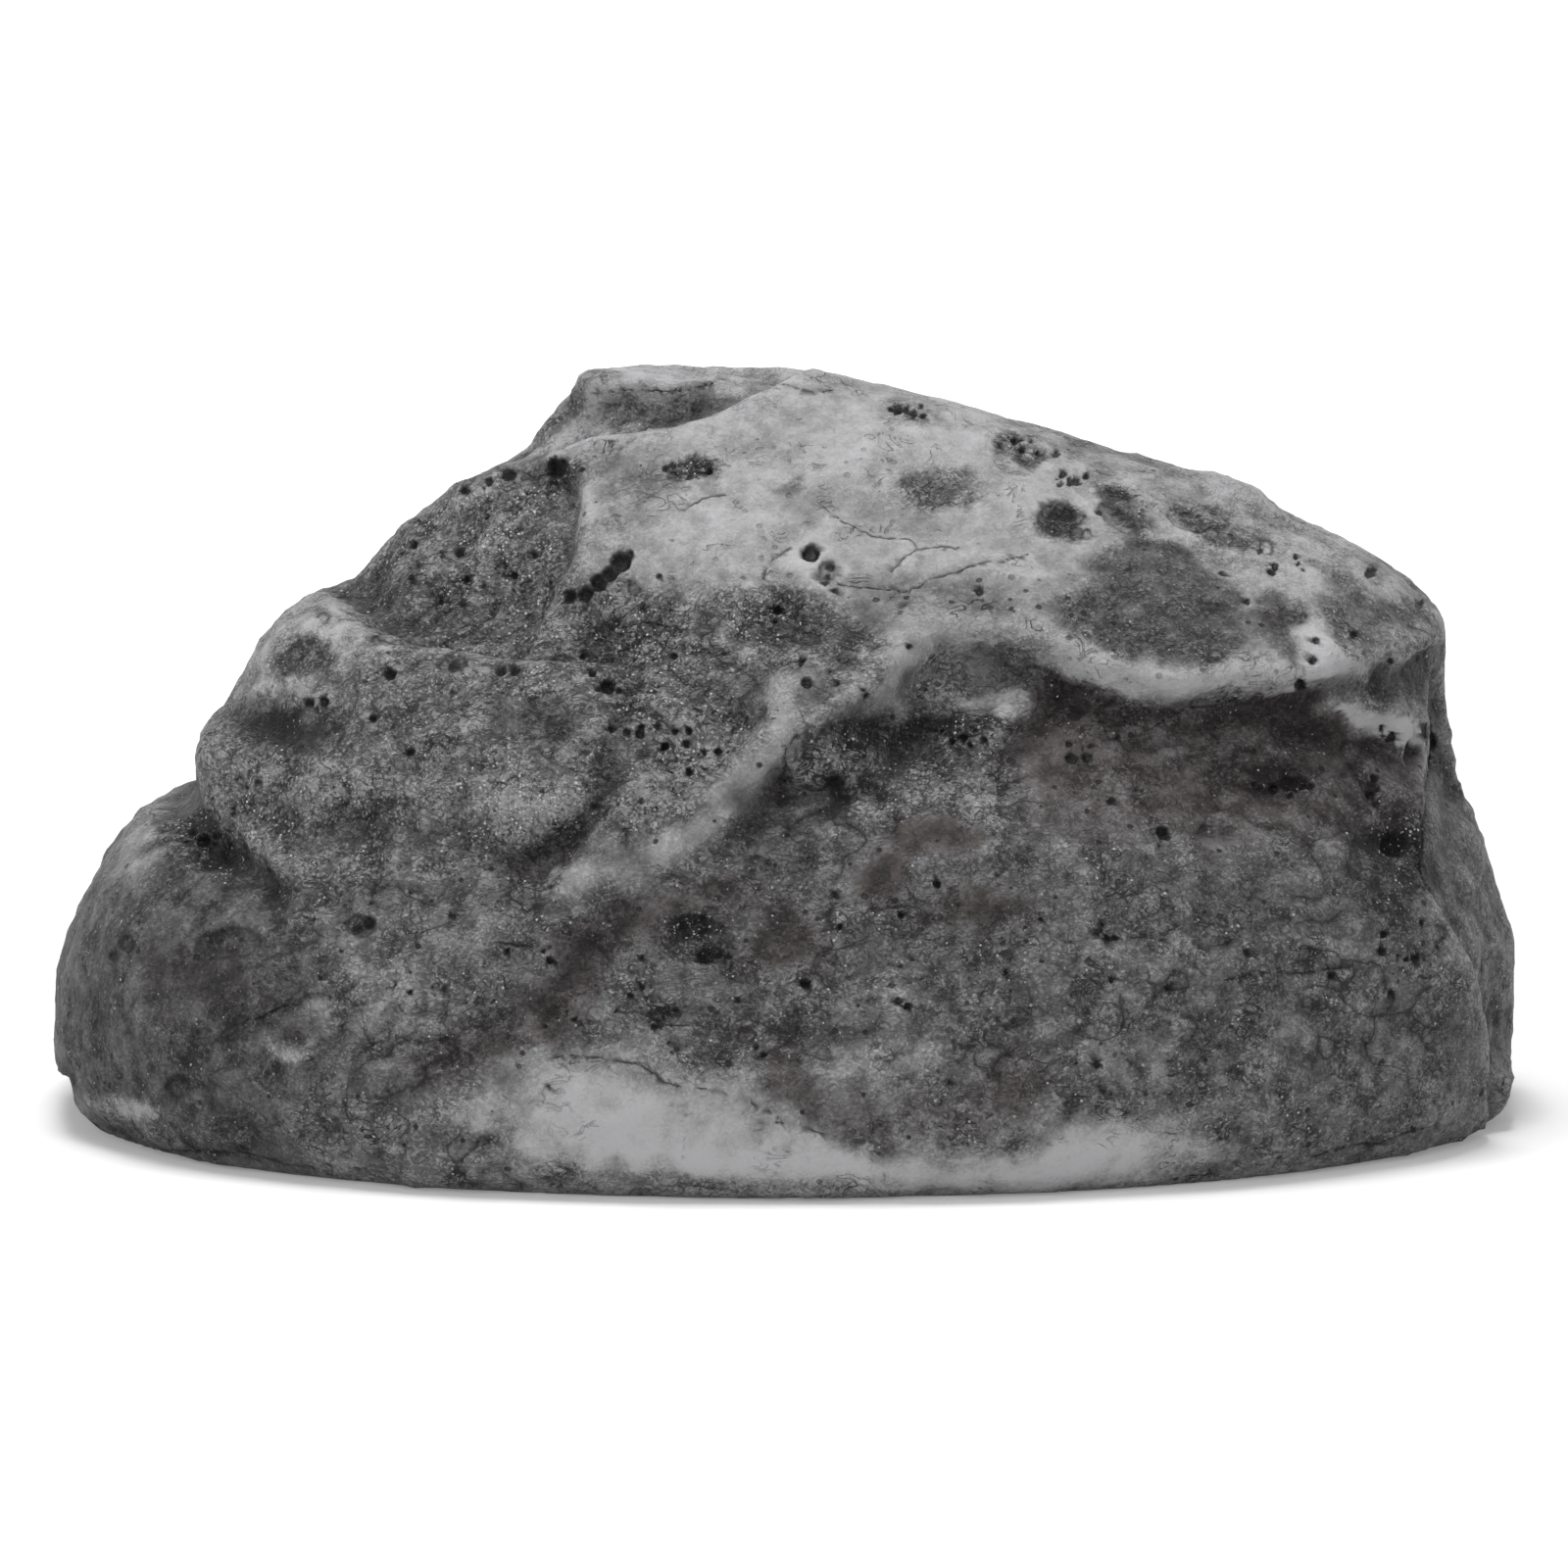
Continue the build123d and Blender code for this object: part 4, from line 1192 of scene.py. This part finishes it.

# %% [markdown]
# ## Effects that several finishes share
# Specks are scattered dots: bright ones are mineral grains and painted glints, dark ones are pinholes. Grain
# is the fine unevenness that every moulded or cast surface has. Each is a group that gives only a mask or a
# height.

# %% Effects that several finishes share
specks, recipe, given, result = new_group(
    "specks", {"Spacing": 1.0, "Width": 0.2, "Share": 0.2, "Shift": 0.0}, ("Mask",))
shifted = recipe.node("ShaderNodeVectorMath", {0: recipe.millimetres(), 1: given["Shift"]}, operation="ADD")
spread = recipe.node("ShaderNodeTexVoronoi", {"Vector": shifted.outputs[0], "Randomness": 1.0,
                                              "Scale": recipe.math("DIVIDE", 1.0, given["Spacing"])})
chance = recipe.node("ShaderNodeSeparateColor", {"Color": spread.outputs["Color"]}).outputs
kept = recipe.math("LESS_THAN", chance[0], given["Share"])
radius = recipe.math("DIVIDE", given["Width"], given["Spacing"])
radius = recipe.times(recipe.times(radius, 0.5), recipe.plus(recipe.times(chance[1], 0.9), 0.55))
dot = recipe.math("DIVIDE", spread.outputs["Distance"], radius)
link(specks, recipe.times(kept, recipe.step(dot, 1.25, 0.75)), result["Mask"])

grain, recipe, given, result = new_group("packed grains", {"Per millimetre": 4.0}, ("Height", "Shade", "Gap"))
swayed = recipe.swayed(recipe.millimetres(), 1.6, 3.0, 0.6, 0.9)
packed = recipe.node("ShaderNodeTexVoronoi", {"Vector": swayed, "Scale": given["Per millimetre"],
                                              "Randomness": 1.0}).outputs
shade = recipe.node("ShaderNodeSeparateColor", {"Color": packed["Color"]}).outputs[0]
link(grain, recipe.math("SUBTRACT", 1.0, packed["Distance"]), result["Height"])
link(grain, shade, result["Shade"])
link(grain, recipe.step(packed["Distance"], 0.42, 0.72), result["Gap"])
print("shared effects:", specks.name, "and", grain.name)

# %% [markdown]
# ## The rock's finish
# The darkness of the wash picks a grey from pale resin to black. Noise and packed grains, at two sizes
# each, fray it, and high places come out paler than low ones: the wash is worn there, and the low places are
# darkened with painted shade. Grit is strong in the rough fields and faint on the waxy crown. Wriggling
# hairlines of black wash and painted crevice shade, pinholes, and bright specks that are mineral grains and
# painted glints come last.

# %% The rock's finish: the wash
GREYS = [  # how dark the wash is, and the colour there
    (0.0, (0.452, 0.452, 0.462)), (0.12, (0.383, 0.383, 0.389)), (0.24, (0.289, 0.289, 0.294)),
    (0.36, (0.213, 0.211, 0.216)), (0.48, (0.153, 0.15, 0.153)), (0.6, (0.107, 0.104, 0.106)),
    (0.72, (0.069, 0.065, 0.066)), (0.85, (0.032, 0.029, 0.029)), (1.0, (0.007, 0.006, 0.006)),
]
FRAY_WIDE, FRAY_MIDDLE, GRAINS_LARGE, GRAINS_SMALL = 0.24, 0.9, 2.3, 5.2  # per millimetre
# The bright specks' white serves both mineral grains and painted glints
BLACK_PAINT, GRAIN_AND_GLINT_WHITE, WARM_TINT = (0.008, 0.008, 0.008), (0.75, 0.75, 0.77), (1.06, 0.98, 0.965)

stone, recipe = new_material("painted resin stone", 0.6, 0.24)
place = recipe.millimetres()
wash_share, gritty = recipe.attribute("wash"), recipe.attribute("grit")
ink_share, crest_wear_and_shade = recipe.attribute("ink"), recipe.attribute("crest")
weathered_share = recipe.attribute("weathered")
wide = recipe.noise(place, FRAY_WIDE, 5.0, 0.62, 0.4)
middle = recipe.noise(place, FRAY_MIDDLE, 6.0, 0.7, 0.3)
small = recipe.group(grain, {"Per millimetre": GRAINS_SMALL})
large = recipe.group(grain, {"Per millimetre": GRAINS_LARGE})
patches = recipe.noise(place, 0.34, 3.0, 0.5, 0.5)
always = recipe.step(gritty, 0.72, 0.95)
gritty = recipe.math("MAXIMUM", always, recipe.times(gritty, recipe.step(patches, 0.42, 0.58, 0.6, 1.2)))
crumbly = recipe.times(gritty, recipe.step(middle, 0.36, 0.6, 0.35, 1.0))


def uneven(wave, strength):
    """A wave about zero, with the given strength, which may be a socket."""
    return recipe.times(recipe.math("SUBTRACT", wave, 0.5), strength)


dark = recipe.plus(recipe.math("SUBTRACT", wash_share, 0.03), uneven(wide, 0.36))
dark = recipe.math("SUBTRACT", dark, uneven(middle, recipe.plus(recipe.times(gritty, 0.4), 0.28)))
dark = recipe.plus(dark, uneven(small["Shade"], recipe.plus(recipe.times(crumbly, 0.66), 0.09)))
dark = recipe.plus(dark, uneven(large["Shade"], recipe.times(crumbly, 0.22)))
# Darker gaps between the packed grains: wash caught there, and painted shade
dark = recipe.plus(dark, recipe.times(small["Gap"], recipe.times(crumbly, 0.36)))
dark = recipe.plus(dark, recipe.times(large["Gap"], recipe.times(crumbly, 0.2)))
# High places paler and low places darker: worn wash, and painted shade in the low places
dark = recipe.math("SUBTRACT", dark, recipe.times(crest_wear_and_shade, 0.27))
shaken = recipe.plus(recipe.attribute("folds"), uneven(recipe.noise(place, 1.7, 2.0, 0.5), 0.1))
from_fold = recipe.math("ABSOLUTE", shaken)
opened = recipe.attribute("opened")
# Painted shade: a soft darkening along both sides of every open crease
dark = recipe.plus(dark, recipe.times(recipe.step(from_fold, 0.02, 0.14, 0.09, 0.0), opened))
ramp = recipe.node("ShaderNodeValToRGB", {"Fac": dark})
while len(ramp.color_ramp.elements) < len(GREYS):
    ramp.color_ramp.elements.new(0.5)
for element, (position, colour) in zip(ramp.color_ramp.elements, GREYS):
    element.position = position
    element.color = (*colour, 1)
warm = recipe.times(recipe.attribute("warmth"), recipe.step(dark, 0.35, 0.65))
colour = recipe.blend(warm, ramp.outputs["Color"], WARM_TINT, "MULTIPLY")
print("greys:", len(GREYS))

# %% The rock's finish: hairlines with painted crevice shade, pinholes, and grains with painted glints
# Dark hairlines: black wash in fine crevices, and painted shade that stands in for their tiny shadows
LINES = {  # name: how often per millimetre, waviness, level of the noise it follows, half-width as noise
    "long": (0.62, 1.6, 0.5, 0.03), "short": (1.3, 1.3, 0.47, 0.07), "fine": (2.3, 0.9, 0.53, 0.09),
}
beds = recipe.node("ShaderNodeMapping", {"Vector": place, "Scale": (0.8, 0.8, 1.4)}).outputs[0]
drawn = {}
for line_name, (per_mm, waviness, level, half_width) in LINES.items():
    wriggle = recipe.noise(beds, per_mm, 1.6, 0.5, waviness)
    off_line = recipe.math("ABSOLUTE", recipe.math("SUBTRACT", wriggle, level))
    drawn[line_name] = recipe.step(off_line, half_width * 0.4, half_width, 1.0, 0.0)
long_line = recipe.times(drawn["long"], recipe.step(patches, 0.46, 0.54))
long_line = recipe.times(long_line, recipe.math("MAXIMUM", gritty, recipe.step(wide, 0.52, 0.58)))
short_line = recipe.times(drawn["short"], recipe.step(patches, 0.53, 0.46))
fine_line = recipe.times(drawn["fine"], recipe.step(middle, 0.47, 0.55))
crumb_lines = recipe.times(recipe.math("MAXIMUM", short_line, recipe.times(fine_line, 0.75)),
                           recipe.step(gritty, 0.1, 0.6))
fold_line = recipe.times(recipe.step(from_fold, 0.01, 0.036, 0.9, 0.0), opened)
crevice_groove_and_shade = recipe.math("MAXIMUM", recipe.math("MAXIMUM", long_line, crumb_lines), fold_line)
# The hairlines are painted near-black: wash in the crevices and painted crevice shade
colour = recipe.blend(recipe.times(crevice_groove_and_shade, recipe.step(wash_share, 0.16, 0.44, 0.15, 0.95)), colour,
                      (0.02, 0.018, 0.018))

pinholes = recipe.group(specks, {"Spacing": 0.9, "Width": 0.3, "Share": 0.24, "Shift": 7.0})["Mask"]
pinholes = recipe.times(pinholes, recipe.step(wash_share, 0.15, 0.5, 0.25, 1.0))
colour = recipe.blend(recipe.times(pinholes, 0.9), colour, BLACK_PAINT)
# Bright specks: pale mineral grains, plus painted glints where the grit is strongest
grains = recipe.group(specks, {"Spacing": 0.34, "Width": 0.13, "Share": 0.17, "Shift": 31.0})["Mask"]
grains = recipe.times(grains, recipe.step(wide, 0.42, 0.6, 0.25, 1.0))
grains = recipe.times(grains, recipe.step(gritty, 0.1, 0.8, 0.08, 1.0))
glints = recipe.group(specks, {"Spacing": 0.24, "Width": 0.13, "Share": 0.3, "Shift": 53.0})["Mask"]
glints = recipe.times(glints, recipe.step(gritty, 0.82, 1.0))
grains = recipe.math("MAXIMUM", grains, recipe.times(glints, recipe.step(patches, 0.42, 0.56)))
colour = recipe.blend(grains, colour, GRAIN_AND_GLINT_WHITE)
colour = recipe.blend(ink_share, colour, BLACK_PAINT)
print("kinds of line:", ", ".join(LINES))

# %% The rock's finish: gloss and relief
rough = recipe.plus(recipe.times(gritty, 0.16), recipe.plus(0.4, recipe.times(middle, 0.14)))
rough = recipe.math("SUBTRACT", rough, recipe.times(grains, 0.2))
rough = recipe.math("SUBTRACT", rough, recipe.times(ink_share, 0.2))

relief = recipe.times(small["Height"], recipe.plus(recipe.times(crumbly, 0.09), 0.002))
relief = recipe.plus(relief, recipe.times(large["Height"], recipe.times(crumbly, 0.16)))
relief = recipe.plus(relief, recipe.times(middle, recipe.plus(recipe.times(gritty, 0.9), 0.15)))
relief = recipe.math("SUBTRACT", relief, recipe.times(pinholes, 0.14))
relief = recipe.math("SUBTRACT", relief, recipe.times(crevice_groove_and_shade, 0.12))
relief = recipe.times(relief, recipe.plus(recipe.times(weathered_share, 0.85), 0.15))
finish(rock, stone, colour, rough, relief)
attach(rock, "rock_body")
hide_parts("rock_shell")
print("rock finished")

# %% [markdown]
# ## The moulded inserts
# The tub, the track frame and the door are injection-moulded, the plugs turned from nylon rod and the
# screws cold-headed. The CAD model has their exact shapes, but no tool leaves a knife edge. Each is
# copied, its loose triangles are joined into flat faces, and every sharp edge gets a small rounding that
# catches the light.

# %% Soften the edges of the inserts
INSERTS = {  # node: its body, its material slot, and the rounding of its edges in millimetres
    "key_tub": ("rock_body", "tub", 0.18),
    "track_frame": ("rock_body", "frame", 0.16),
    "slide_door": ("door", "door", 0.1),
    "flange_gasket": ("rock_body", "gasket", 0.12),
    "frame_screws": ("rock_body", "screw", 0.05),
    "screw_plugs": ("rock_body", "plug", 0.14),
}


def softened(node, rounding):
    """A copy of a CAD node with its triangles joined and its sharp edges rounded."""
    shape = bmesh.new()
    shape.from_mesh(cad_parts[node].data)
    bmesh.ops.remove_doubles(shape, verts=shape.verts, dist=0.0005 * MM)
    bmesh.ops.dissolve_limit(shape, angle_limit=math.radians(0.6), verts=shape.verts, edges=shape.edges)
    mesh = bpy.data.meshes.new(node)
    shape.to_mesh(mesh)
    shape.free()
    mesh.shade_smooth()
    piece = bpy.data.objects.new("soft_" + node, mesh)
    bpy.context.scene.collection.objects.link(piece)
    edges = piece.modifiers.new("rounded edges", "BEVEL")
    edges.width = rounding * MM
    edges.segments = 3
    edges.limit_method = "ANGLE"
    edges.angle_limit = math.radians(32)
    edges.harden_normals = True
    return piece


pieces = {}
for node, (body, slot_name, rounding) in INSERTS.items():
    pieces[node] = softened(node, rounding)
    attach(pieces[node], body)
    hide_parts(node)
    print(node, "has", len(pieces[node].data.polygons), "faces before rounding")

# %% [markdown]
# ## The foam pad
# A pad of open foam is glued to the tub's ceiling. It is cut from a sheet, so its sides are straight, but
# its lower face bulges a little between the pressed borders, and keys have left a shallow hollow in it.

# %% The foam pad
PAD_SQUARES = 0.34  # millimetres
PAD_BORDER = 1.6  # how far in from its outline the face is rounded
PAD_PRESSED = 0.42  # how much lower the border is than the middle
KEY_HOLLOW = ((-4.0, 0.0), (17.0, 5.0), 0.25)  # middle, half-sizes and depth of the pressed hollow

low, high = (np.array(corner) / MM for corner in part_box("foam_pad"))
pad_size, pad_middle = high - low, (low + high) / 2
pad = bpy.data.objects.new("soft_foam_pad", bpy.data.meshes.new("foam_pad"))
bpy.context.scene.collection.objects.link(pad)
sheet = rounded_block(pad_size[:2], 4.5, low[2], high[2], pad_middle)
sheet.to_mesh(pad.data)
sheet.free()
remesh(pad, PAD_SQUARES)

foam_points = np.array([v.co[:] for v in pad.data.vertices]) / MM
off_middle = np.abs(foam_points - pad_middle)[:, :2]
to_side = (pad_size[:2] / 2 - off_middle).min(axis=1)
lower_share = (high[2] - foam_points[:, 2]) / pad_size[2]
lift_up = PAD_PRESSED * (1 - smooth_step(0, PAD_BORDER, to_side))
(hollow_x, hollow_y), (half_x, half_y), hollow_depth = KEY_HOLLOW
hollow = np.hypot((foam_points[:, 0] - pad_middle[0] - hollow_x) / half_x,
                  (foam_points[:, 1] - pad_middle[1] - hollow_y) / half_y)
lift_up += hollow_depth * smooth_step(1.2, 0.4, hollow)
lift_up += 0.05 * (1 + stone_noise(foam_points, 0.8, 3, 71.0))
foam_points[:, 2] += np.clip(lift_up, 0, None) * lower_share
foam_points = np.clip(foam_points, low + 0.01, high - 0.005)
pad.data.vertices.foreach_set("co", (foam_points * MM).astype(np.float32).ravel())
pad.data.shade_smooth()
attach(pad, "rock_body")
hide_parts("foam_pad")
pieces["foam_pad"] = pad
print("foam pad:", len(pad.data.polygons), "squares")

# %% [markdown]
# ## Moulded plastic
# A mould's spark-eroded walls print a fine, even texture, the melt leaves faint flow marks, and a slide
# that rubs in its track gets long thin scratches. One group gives all three, and the tub, frame, door and
# plugs each use it with their own colour and amounts.

# %% Moulded plastic
moulded, recipe, given, result = new_group(
    "moulded skin", {"Texture per millimetre": 7.0}, ("Texture", "Flow", "Scratches"))
place = recipe.millimetres()
texture = recipe.noise(place, given["Texture per millimetre"], 2.0, 0.55)
flow = recipe.noise(place, 0.07, 4.0, 0.6, 0.8)
drawn_out = recipe.node("ShaderNodeMapping", {"Vector": place, "Scale": (0.07, 2.6, 2.6),
                                              "Rotation": (0, 0, 0.03)}).outputs[0]
streaks = recipe.noise(drawn_out, 1.0, 4.0, 0.7)
where = recipe.step(recipe.noise(place, 0.16, 2.0), 0.46, 0.6)
link(moulded, texture, result["Texture"])
link(moulded, flow, result["Flow"])
link(moulded, recipe.times(recipe.step(streaks, 0.585, 0.62), where), result["Scratches"])

PLASTICS = {  # slot: colour, paler colour of rubbed places, roughness, scratches, texture in millimetres
    "tub": ((0.05, 0.05, 0.055), (0.105, 0.105, 0.11), 0.4, 0.3, 0.006),
    "frame": ((0.03, 0.03, 0.033), (0.08, 0.08, 0.084), 0.44, 0.35, 0.008),
    "door": ((0.04, 0.04, 0.043), (0.13, 0.13, 0.133), 0.5, 0.75, 0.011),
    "plug": ((0.75, 0.74, 0.7), (0.84, 0.83, 0.8), 0.42, 0.2, 0.004),
}
DUST = (0.32, 0.3, 0.27)


def mould(piece, slot_name, colour, rubbed, roughness, scratches, texture_height):
    """Gives a piece a plastic with flow marks, rubbed streaks, a dusting of dirt and a mould's texture."""
    material, recipe = new_material("moulded " + slot_name, roughness)
    skin = recipe.group(moulded, {"Texture per millimetre": 6.5})
    place = recipe.millimetres()
    deeper = tuple(0.72 * channel for channel in colour)
    shade = recipe.blend(recipe.step(skin["Flow"], 0.3, 0.7), deeper, colour)
    shade = recipe.blend(recipe.times(skin["Texture"], 0.35), shade, rubbed)
    shade = recipe.blend(recipe.times(skin["Scratches"], scratches), shade, rubbed)
    dirt = recipe.step(recipe.noise(place, 0.45, 6.0, 0.72), 0.52, 0.72)
    shade = recipe.blend(recipe.times(dirt, 0.16), shade, DUST)
    crumbs = recipe.group(specks, {"Spacing": 1.3, "Width": 0.16, "Share": 0.2, "Shift": 3.0})["Mask"]
    shade = recipe.blend(recipe.times(crumbs, 0.5), shade, DUST)
    rough = recipe.plus(roughness, recipe.times(dirt, 0.2))
    rough = recipe.plus(rough, recipe.times(skin["Scratches"], 0.16))
    rough = recipe.plus(rough, recipe.times(recipe.math("SUBTRACT", skin["Flow"], 0.5), 0.2))
    height = recipe.times(skin["Texture"], texture_height)
    height = recipe.math("SUBTRACT", height, recipe.times(skin["Scratches"], 0.006 * scratches))
    height = recipe.plus(height, recipe.times(crumbs, 0.03))
    finish(piece, material, shade, rough, height)


SLOT_NODES = {slot_name: node for node, (body, slot_name, rounding) in INSERTS.items()}
for slot_name, settings in PLASTICS.items():
    mould(pieces[SLOT_NODES[slot_name]], slot_name, *settings)
print("moulded plastics:", ", ".join(PLASTICS))

# %% [markdown]
# ## Steel screws
# The screws' heads are faced after heading, so their brightness comes in fine rings round each axis. Folding
# the plan about the key's middle puts all four axes on one spot, so one set of rings serves them all.

# %% Steel screws
STEEL, STAINED = (0.62, 0.61, 0.59), (0.3, 0.27, 0.24)
RINGS_PER_MM = 7.0

steel, recipe = new_material("brushed steel", 0.3, metallic=1.0)
place = recipe.millimetres()
parts = recipe.node("ShaderNodeSeparateXYZ", {"Vector": place}).outputs
off_x = recipe.math("SUBTRACT", recipe.math("ABSOLUTE", recipe.math("SUBTRACT", parts[0], KEY_CENTRE[0])),
                    PLUG_SPREAD[0])
off_y = recipe.math("SUBTRACT", recipe.math("ABSOLUTE", recipe.math("SUBTRACT", parts[1], KEY_CENTRE[1])),
                    PLUG_SPREAD[1])
radius = recipe.math("SQRT", recipe.plus(recipe.times(off_x, off_x), recipe.times(off_y, off_y)))
ring_place = recipe.node("ShaderNodeCombineXYZ", {"X": recipe.times(radius, RINGS_PER_MM),
                                                  "Y": recipe.times(parts[2], 3.0)}).outputs[0]
turned = recipe.noise(ring_place, 1.6, 3.0, 0.6)
stain = recipe.step(recipe.noise(place, 1.1, 5.0, 0.7), 0.5, 0.68)
shade = recipe.blend(recipe.times(stain, 0.5), STEEL, STAINED)
shade = recipe.blend(recipe.times(turned, 0.3), shade, (0.8, 0.79, 0.77))
rough = recipe.plus(recipe.plus(0.2, recipe.times(turned, 0.18)), recipe.times(stain, 0.25))
finish(pieces["frame_screws"], steel, shade, rough, recipe.times(turned, 0.012))
print("steel rings per millimetre:", RINGS_PER_MM)

# %% [markdown]
# ## Rubber gasket and foam
# Both are foams. The gasket is closed-cell rubber, whose cells show as faint dimples. The pad is open foam
# with pores between pale threads. In both, the cells' hollows are darkened with painted shade. One group of
# cells serves both at their own sizes.

# %% Rubber gasket and foam
sponge_cells, recipe, given, result = new_group("foam cells", {"Per millimetre": 3.0}, ("Pore", "Thread"))
swayed = recipe.swayed(recipe.millimetres(), 0.9, 2.0, 0.5, 0.6)
near = recipe.node("ShaderNodeTexVoronoi", {"Vector": swayed, "Scale": given["Per millimetre"]},
                   feature="DISTANCE_TO_EDGE").outputs["Distance"]
link(sponge_cells, recipe.step(near, 0.12, 0.36), result["Pore"])
link(sponge_cells, recipe.step(near, 0.1, 0.0), result["Thread"])

FOAMS = {  # node: cells per millimetre, colour, colour of its threads, depth in millimetres
    "flange_gasket": (3.4, (0.02, 0.02, 0.02), (0.034, 0.034, 0.034), 0.03),
    "foam_pad": (1.9, (0.055, 0.055, 0.062), (0.17, 0.17, 0.182), 0.16),
}
for node, (per_mm, colour, thread_colour, depth) in FOAMS.items():
    foam, recipe = new_material("foam of " + node, 0.85, 0.3)
    place = recipe.millimetres()
    sponge = recipe.group(sponge_cells, {"Per millimetre": per_mm})
    tiny = recipe.group(sponge_cells, {"Per millimetre": per_mm * 2.3})
    # The pores' darker colour is painted shade inside the cells
    deeper = tuple(0.45 * channel for channel in colour)
    shade = recipe.blend(sponge["Pore"], thread_colour, deeper)
    shade = recipe.blend(recipe.times(tiny["Pore"], 0.5), shade, colour)
    shade = recipe.blend(recipe.step(recipe.noise(place, 0.25, 3.0), 0.35, 0.7, 0.0, 0.35), shade, colour)
    rough = recipe.plus(0.78, recipe.times(sponge["Pore"], 0.15))
    height = recipe.math("SUBTRACT", sponge["Thread"], recipe.times(sponge["Pore"], 1.0))
    height = recipe.times(recipe.plus(height, recipe.times(tiny["Thread"], 0.4)), depth)
    finish(pieces[node], foam, shade, rough, height)
print("foams:", ", ".join(FOAMS))
